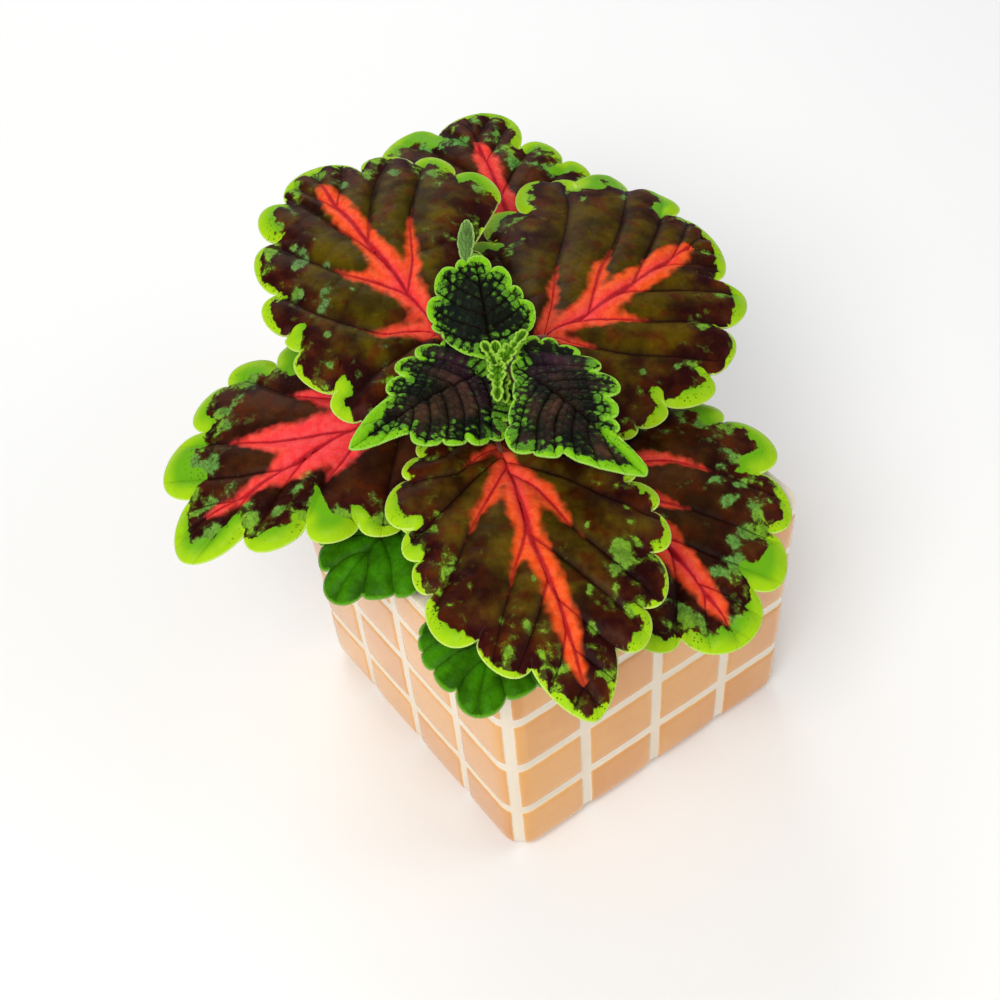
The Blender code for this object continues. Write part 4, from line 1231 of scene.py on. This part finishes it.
def wallRing(marks, tones, z):
    # spots, tile heights and tones round the wall at one height
    turned = potShape["baseRound"]
    inset = turned - math.sqrt(max(0.0, turned ** 2 - (turned - z) ** 2)) if z < turned else 0.0
    corner = max(2.0, potShape["corner"] - inset * potShape["tighten"])
    spots, ups, shades = [], [], []
    for q, kind, value, place in ((q, *mark) for q in range(4) for mark in marks):
        spot, out = potSpot(q, kind, value, potHalf(z) - inset, corner)
        rough = noise.noise(Vector((spot.x, spot.y, z)) * potShape["waves"]) * potShape["wobble"]
        up, column, row, crown = tileAt(place, z, rough)
        spot -= out * (potShape["sink"] * (1 - up) + crown * up)
        spots.append(Vector((spot.x, spot.y, z)) * mm)
        ups.append(up)
        shades.append(float(tones[q][column][row]))
    return spots, ups, shades


def makeWall(bm, marks):
    # the tiled outside, from the base up; its first and last rings
    onTile = bm.verts.layers.float.new("tile")
    tone = bm.verts.layers.float.new("tone")
    tones = np.random.default_rng(4).uniform(0, 1, (4, 4, 6))
    stops = [row + offset for row in potShape["rows"] for offset in groutOffsets]
    stops = sorted([*potShape["baseLevels"], potShape["baseRound"]] + [z for z in stops if z < potShape["topLevel"]])
    first = ring = None
    for z in fillStops(stops, potShape["step"]) + [stops[-1]]:
        spots, ups, shades = wallRing(marks, tones, z)
        ring = nextRing(bm, ring, spots) if ring else firstRing(bm, spots)
        first = first or ring
        for v, up, shade in zip(ring, ups, shades):
            v[onTile] = up
            v[tone] = shade
    return first, ring


def makePot(glaze, foot):
    marks = potMarks()
    bm = bmesh.new()
    first, ring = makeWall(bm, marks)
    top = potHalf(potShape["height"])
    inner = [(top - inset, z) for inset, z in potShape["rim"]]
    inner += [(potHalf(z) - potShape["wall"], z) for z in potShape["inside"]]
    inner += [(potHalf(z) - inset, z) for inset, z in potShape["bottom"]]
    for half, z in inner:
        corner = max(1.0, potShape["corner"] - (potHalf(z) - half) * potShape["tighten"])
        ring = nextRing(bm, ring, ringAt(marks, half, corner, z))
    capRing(bm, ring)
    # underside: a narrow bare foot round a slightly hollow base
    ring = first
    bare = []
    for inset, z in potShape["foot"]:
        ring = nextRing(bm, ring, ringAt(marks, potHalf(0) - inset, potShape["footCorner"], z))
        if inset > potShape["bareFrom"]:
            bare += [f for v in ring for f in v.link_faces]
    bare += capRing(bm, ring)
    for f in bare:
        f.material_index = 1
    bmesh.ops.recalc_face_normals(bm, faces=bm.faces)
    return addPiece("pot_glazed", bm, [glaze, foot])


def glazeMaterial():
    mat, shader = newMaterial("tileGlaze", coat=0.8, coatRoughness=0.08, specular=0.4)
    place = objectPlace(shader)
    onTile, tone = (attribute(shader, name, "Fac") for name in ("tile", "tone"))
    broad = cloud(place, 38.0, 3.0)
    small = cloud(place, 420.0, 3.0)
    mottled = ease(broad * 0.9 + tone * 0.35, 0.35, 0.85)
    amber = blend(mottled, tint(206, 134, 46), tint(222, 158, 72))
    amber = blend(small * 0.25, amber, tint(188, 112, 40))
    # the glaze is thin and pale on the tiles' shoulders
    amber = blend(ease(onTile, 1.0, 0.75, 0.0, 0.35), amber, tint(226, 180, 116))
    grout = blend(broad, tint(234, 222, 202), tint(214, 200, 176))
    tiled = ease(onTile + swing(small, 0.35), 0.25, 0.62)
    colour = blend(ease(cells(place, 700.0), 0.11, 0.05, 0.0, 0.35), blend(tiled, grout, amber), tint(168, 120, 76))
    wire(shader, colour, ease(tiled, 0.0, 1.0, 0.40, 0.22), broad + small * 0.10, 0.0006, 0.3)
    return mat


def footMaterial():
    mat, shader = newMaterial("bareFoot", specular=0.25)
    place = objectPlace(shader)
    broad = cloud(place, 60.0, 4.0)
    grit = cloud(place, 1600.0, 3.0)
    colour = blend(broad, tint(214, 196, 170), tint(190, 168, 138))
    colour = blend(ease(grit, 0.55, 0.7, 0.0, 0.5), colour, tint(150, 126, 98))
    wire(shader, colour, calc("MULTIPLY_ADD", grit, 0.2, 0.7), grit, 0.00015)
    return mat


soilShape = dict(top=61.0, dome=1.5, wall=5.3, rings=30, crumbs=420, perlite=46, lift=0.5, foot=(9.0, 1.5),
                 footTop=(5.4, 9.5), bevel=(0.4, 1.2), corner=4.0, rough=(260, 900), stem=(-2, 6, 4.5), margin=2.2,
                 dark=dict(size=(0.5, 1.5), stretch=(0.6, 1.5)), pale=dict(size=(0.5, 1.1), stretch=(0.8, 1.1)))


def soilBed(bm, half):
    # the filled inside of the pot with a rough, slightly domed surface; half is half its width on top
    marks = potMarks()[::2]
    low, surface = potShape["floor"] + soilShape["lift"], soilShape["top"]
    ring = firstRing(bm, ringAt(marks, potHalf(low) - soilShape["foot"][0], soilShape["foot"][1], low))
    capRing(bm, ring)
    inset, z = soilShape["footTop"]
    aside, down = soilShape["bevel"]
    levels = [(potHalf(z) - inset, z), (half, surface - down), (half - aside, surface)]
    levels += [(half * (1 - i / soilShape["rings"]), surface) for i in range(1, soilShape["rings"])]
    for width, z in levels:
        ring = nextRing(bm, ring, ringAt(marks, width, min(width * 0.5, soilShape["corner"]), z))
    capRing(bm, ring)
    broad, fine = soilShape["rough"]
    for v in bm.verts:
        if v.co.z > (surface - 0.5) * mm:
            reach = min(1.0, v.co.xy.length / (half * mm))
            dome = soilShape["dome"] * (1 - reach * reach)
            rough = noise.fractal(v.co * broad, 0.9, 2.0, 4) * 0.9 + noise.noise(v.co * fine) * 0.35
            v.co.z += (dome + rough * (0.4 + 0.6 * (1 - reach ** 6)) - 0.3) * mm
    bmesh.ops.recalc_face_normals(bm, faces=bm.faces)


def looseGrains(bm, half):
    # crumbs of bark and peat, and a few grains of perlite, lying on the surface
    rng = np.random.default_rng(9)
    stemX, stemY, clear = soilShape["stem"]
    for i in range(soilShape["crumbs"] + soilShape["perlite"]):
        pale = i >= soilShape["crumbs"]
        grain = soilShape["pale" if pale else "dark"]
        x, y = rng.uniform(-half + soilShape["margin"], half - soilShape["margin"], 2)
        if math.hypot(x - stemX, y - stemY) < clear:
            continue
        size = rng.uniform(*grain["size"])
        reach = min(1.0, math.hypot(x, y) / half)
        z = soilShape["top"] + soilShape["dome"] * (1 - reach * reach) + size * 0.15
        turn = Matrix.Rotation(rng.uniform(0, 6.28), 4, Vector(rng.normal(0, 1, 3)).normalized())
        stretch = Matrix.Diagonal((*rng.uniform(*grain["stretch"], 3), 1.0))
        place = Matrix.Translation(Vector((x, y, z)) * mm) @ turn @ stretch @ Matrix.Scale(size * mm, 4)
        made = bmesh.ops.create_icosphere(bm, subdivisions=1, radius=1.0, matrix=place)["verts"]
        for v in made:
            v.co += Vector(rng.normal(0, size * 0.12, 3)) * mm
        if pale:
            for f in {f for v in made for f in v.link_faces}:
                f.material_index = 1


def makeSoil(earth, white):
    bm = bmesh.new()
    half = potHalf(soilShape["top"]) - soilShape["wall"]
    soilBed(bm, half)
    looseGrains(bm, half)
    return addPiece("soil_bed", bm, [earth, white], angle=50)


def soilMaterials():
    earth, shader = newMaterial("darkPeat", specular=0.2)
    place = objectPlace(shader)
    broad = cloud(place, 120.0, 5.0)
    grit = cloud(place, 1300.0, 3.0)
    colour = blend(ease(broad, 0.35, 0.65), tint(34, 24, 18), tint(72, 50, 36))
    colour = blend(grit * 0.6, colour, tint(24, 17, 13))
    wire(shader, colour, calc("MULTIPLY_ADD", broad, 0.2, 0.75), grit, 0.0004)
    white, shader = newMaterial("perlite", specular=0.3)
    grit = cloud(objectPlace(shader), 1500.0, 3.0)
    colour = blend(grit, tint(236, 232, 222), tint(188, 180, 164))
    wire(shader, colour, calc("MULTIPLY_ADD", grit, 0.2, 0.7), grit, 0.0002)
    return earth, white


def makeStem(mat):
    steps = stemShape["steps"]
    path = [Vector(stemShape["foot"]) * mm - Vector((0, 0, stemShape["root"] * mm))]
    path += [stemSpot(i / steps) for i in range(steps + 1)]
    heights = [p.z / mm for p in path]

    def radius(share, turn):
        place = share * (len(path) - 1)
        z = np.interp(place, range(len(path)), heights)
        size = stemRadius(stemShare(z)) * 0.94
        swell = sum(math.exp(-((z - n) / stemShape["swellReach"]) ** 2) for n in stemShape["nodes"])
        square = 1 / max(abs(math.cos(turn)), abs(math.sin(turn))) ** 0.55
        return size * square * 0.92 * (1 + stemShape["swell"] * min(swell, 1.0))

    section = dict(sides=stemShape["sides"], radius=radius, side=Vector((1, 0.2, 0)))
    return addPiece("stem_shoot", sweep(path, section), [mat])


# Each bud leaf is a folded strip with a crumpled foot, a thin neck and a spoon-shaped end
budShape = dict(stub=((-4.6, 8.2, 103.0), (-4.8, 7.6, 104.6), (-5.3, 6.2, 106.0)), radius=(1.3, 0.8),
                stops=((0.05, 0.55, 0.3), (0.19, 1.0, 0.4), (0.33, 0.75, 0.5), (0.5, 0.5, 0.25), (0.64, 0.42, 0.1),
                       (0.84, 0.8, 0.0)),
                sides=16, depth=0.00006, firstLobe=0.2, step=0.2,
                shape=dict(hang=0.0, arch=0.05, tip=0.62, sinus=(0.0, 0.0), fold=0.7, rim=(0.22, 0.1), ribs=4,
                           widest=0.5),
                look=dict(Speckle=0.4, Fine=3.5, Bead=0.2, Reach=2.0, Dark=1.3, Ragged=0.05, Lines=0.6, Soft=2.0,
                          Pale=0.2, Inner=tint(58, 100, 14), Middle=tint(66, 110, 16), Outer=tint(78, 128, 20),
                          Margin=tint(104, 156, 24), MarginEdge=tint(150, 200, 48),
                          Patch=tint(92, 146, 24), PatchIn=tint(92, 146, 24)),
                leaves=dict(
                    bud_left=dict(base=(-5.5, 5.9, 106.2), heading=94.3, rise=42.2, roll=-20, length=7.2, width=2.9),
                    bud_right=dict(base=(-5.4, 5.9, 106.9), heading=8.7, rise=27.5, roll=15, length=10.6, width=3.0),
                    bud_front=dict(base=(-5.5, 5.8, 107.4), heading=-126.2, rise=5.5, roll=8, length=14.2,
                                   width=2.9),
                    bud_aside=dict(base=(-6.1, 4.6, 106.3), heading=-120.0, rise=2.5, roll=-10, length=11.2,
                                   width=2.2),
                    bud_back=dict(base=(-4.9, 7.2, 105.8), heading=60.9, rise=50.4, roll=0, length=5.2, width=3.4)))


def budEdge(spec, step):
    # outline of a bud leaf; each stop is a share of its length, a share of its width and the lobe's depth after it
    stops = budShape["stops"]
    half = spec["width"] / 2
    spots = [(spec["length"] * share, half * wide) for share, wide, _ in stops]
    depths = [stop[2] for stop in stops]
    spec["right"] = [(u, -v, depth) for (u, v), depth in zip(spots[:-1], depths)] + [(spots[-1][0], -spots[-1][1])]
    spec["left"] = [(u, v, depth) for (u, v), depth in zip(spots, [budShape["firstLobe"]] + depths)]
    return lobedEdge(spec, step)


def makeBud(pattern, mat):
    path = [Vector(p) * mm for p in smoothPath(budShape["stub"], 4)]
    wide, narrow = budShape["radius"]
    section = dict(sides=budShape["sides"], radius=lambda share, turn: (wide + (narrow - wide) * share) * mm)
    stub = addPiece("bud_shoot", sweep(path, section), [mat])
    lime = leafMaterial("budLime", pattern, budShape["depth"], budShape["look"])
    others = []
    for seed, (name, own) in enumerate(budShape["leaves"].items(), 31):
        spec = dict(own, **budShape["shape"])
        ovalRibs(spec)
        blade = makeBlade(name, spec, budEdge(spec, budShape["step"]), dict(budStyle, seed=seed), [lime, lime])
        others.append(joinPieces(blade, []))
    return joinPieces(stub, others)


makeCamera()
makeStudio()
print("camera, lamps and floor set")
leafPattern = leafPatternGroup()
makeLeaves(leafPattern)
settle(makePot(glazeMaterial(), footMaterial()), "pot", "glaze")
print("pot made")
settle(makeSoil(*soilMaterials()), "soil", "soil")
print("soil made")
stemSkin = stalkMaterial("stemSkin", tint(96, 50, 44), tint(112, 100, 50))
settle(makeStem(stemSkin), "stem", "stem")
settle(makeBud(leafPattern, stemSkin), "bud", "young_leaf")
print("stem and bud made")

sizes = dict(cad=[list(c) for c in cadBox], visual=[list(c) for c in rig.bounds()])
with open("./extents.json", "w") as out:
    json.dump(sizes, out)
print("sizes", sizes)
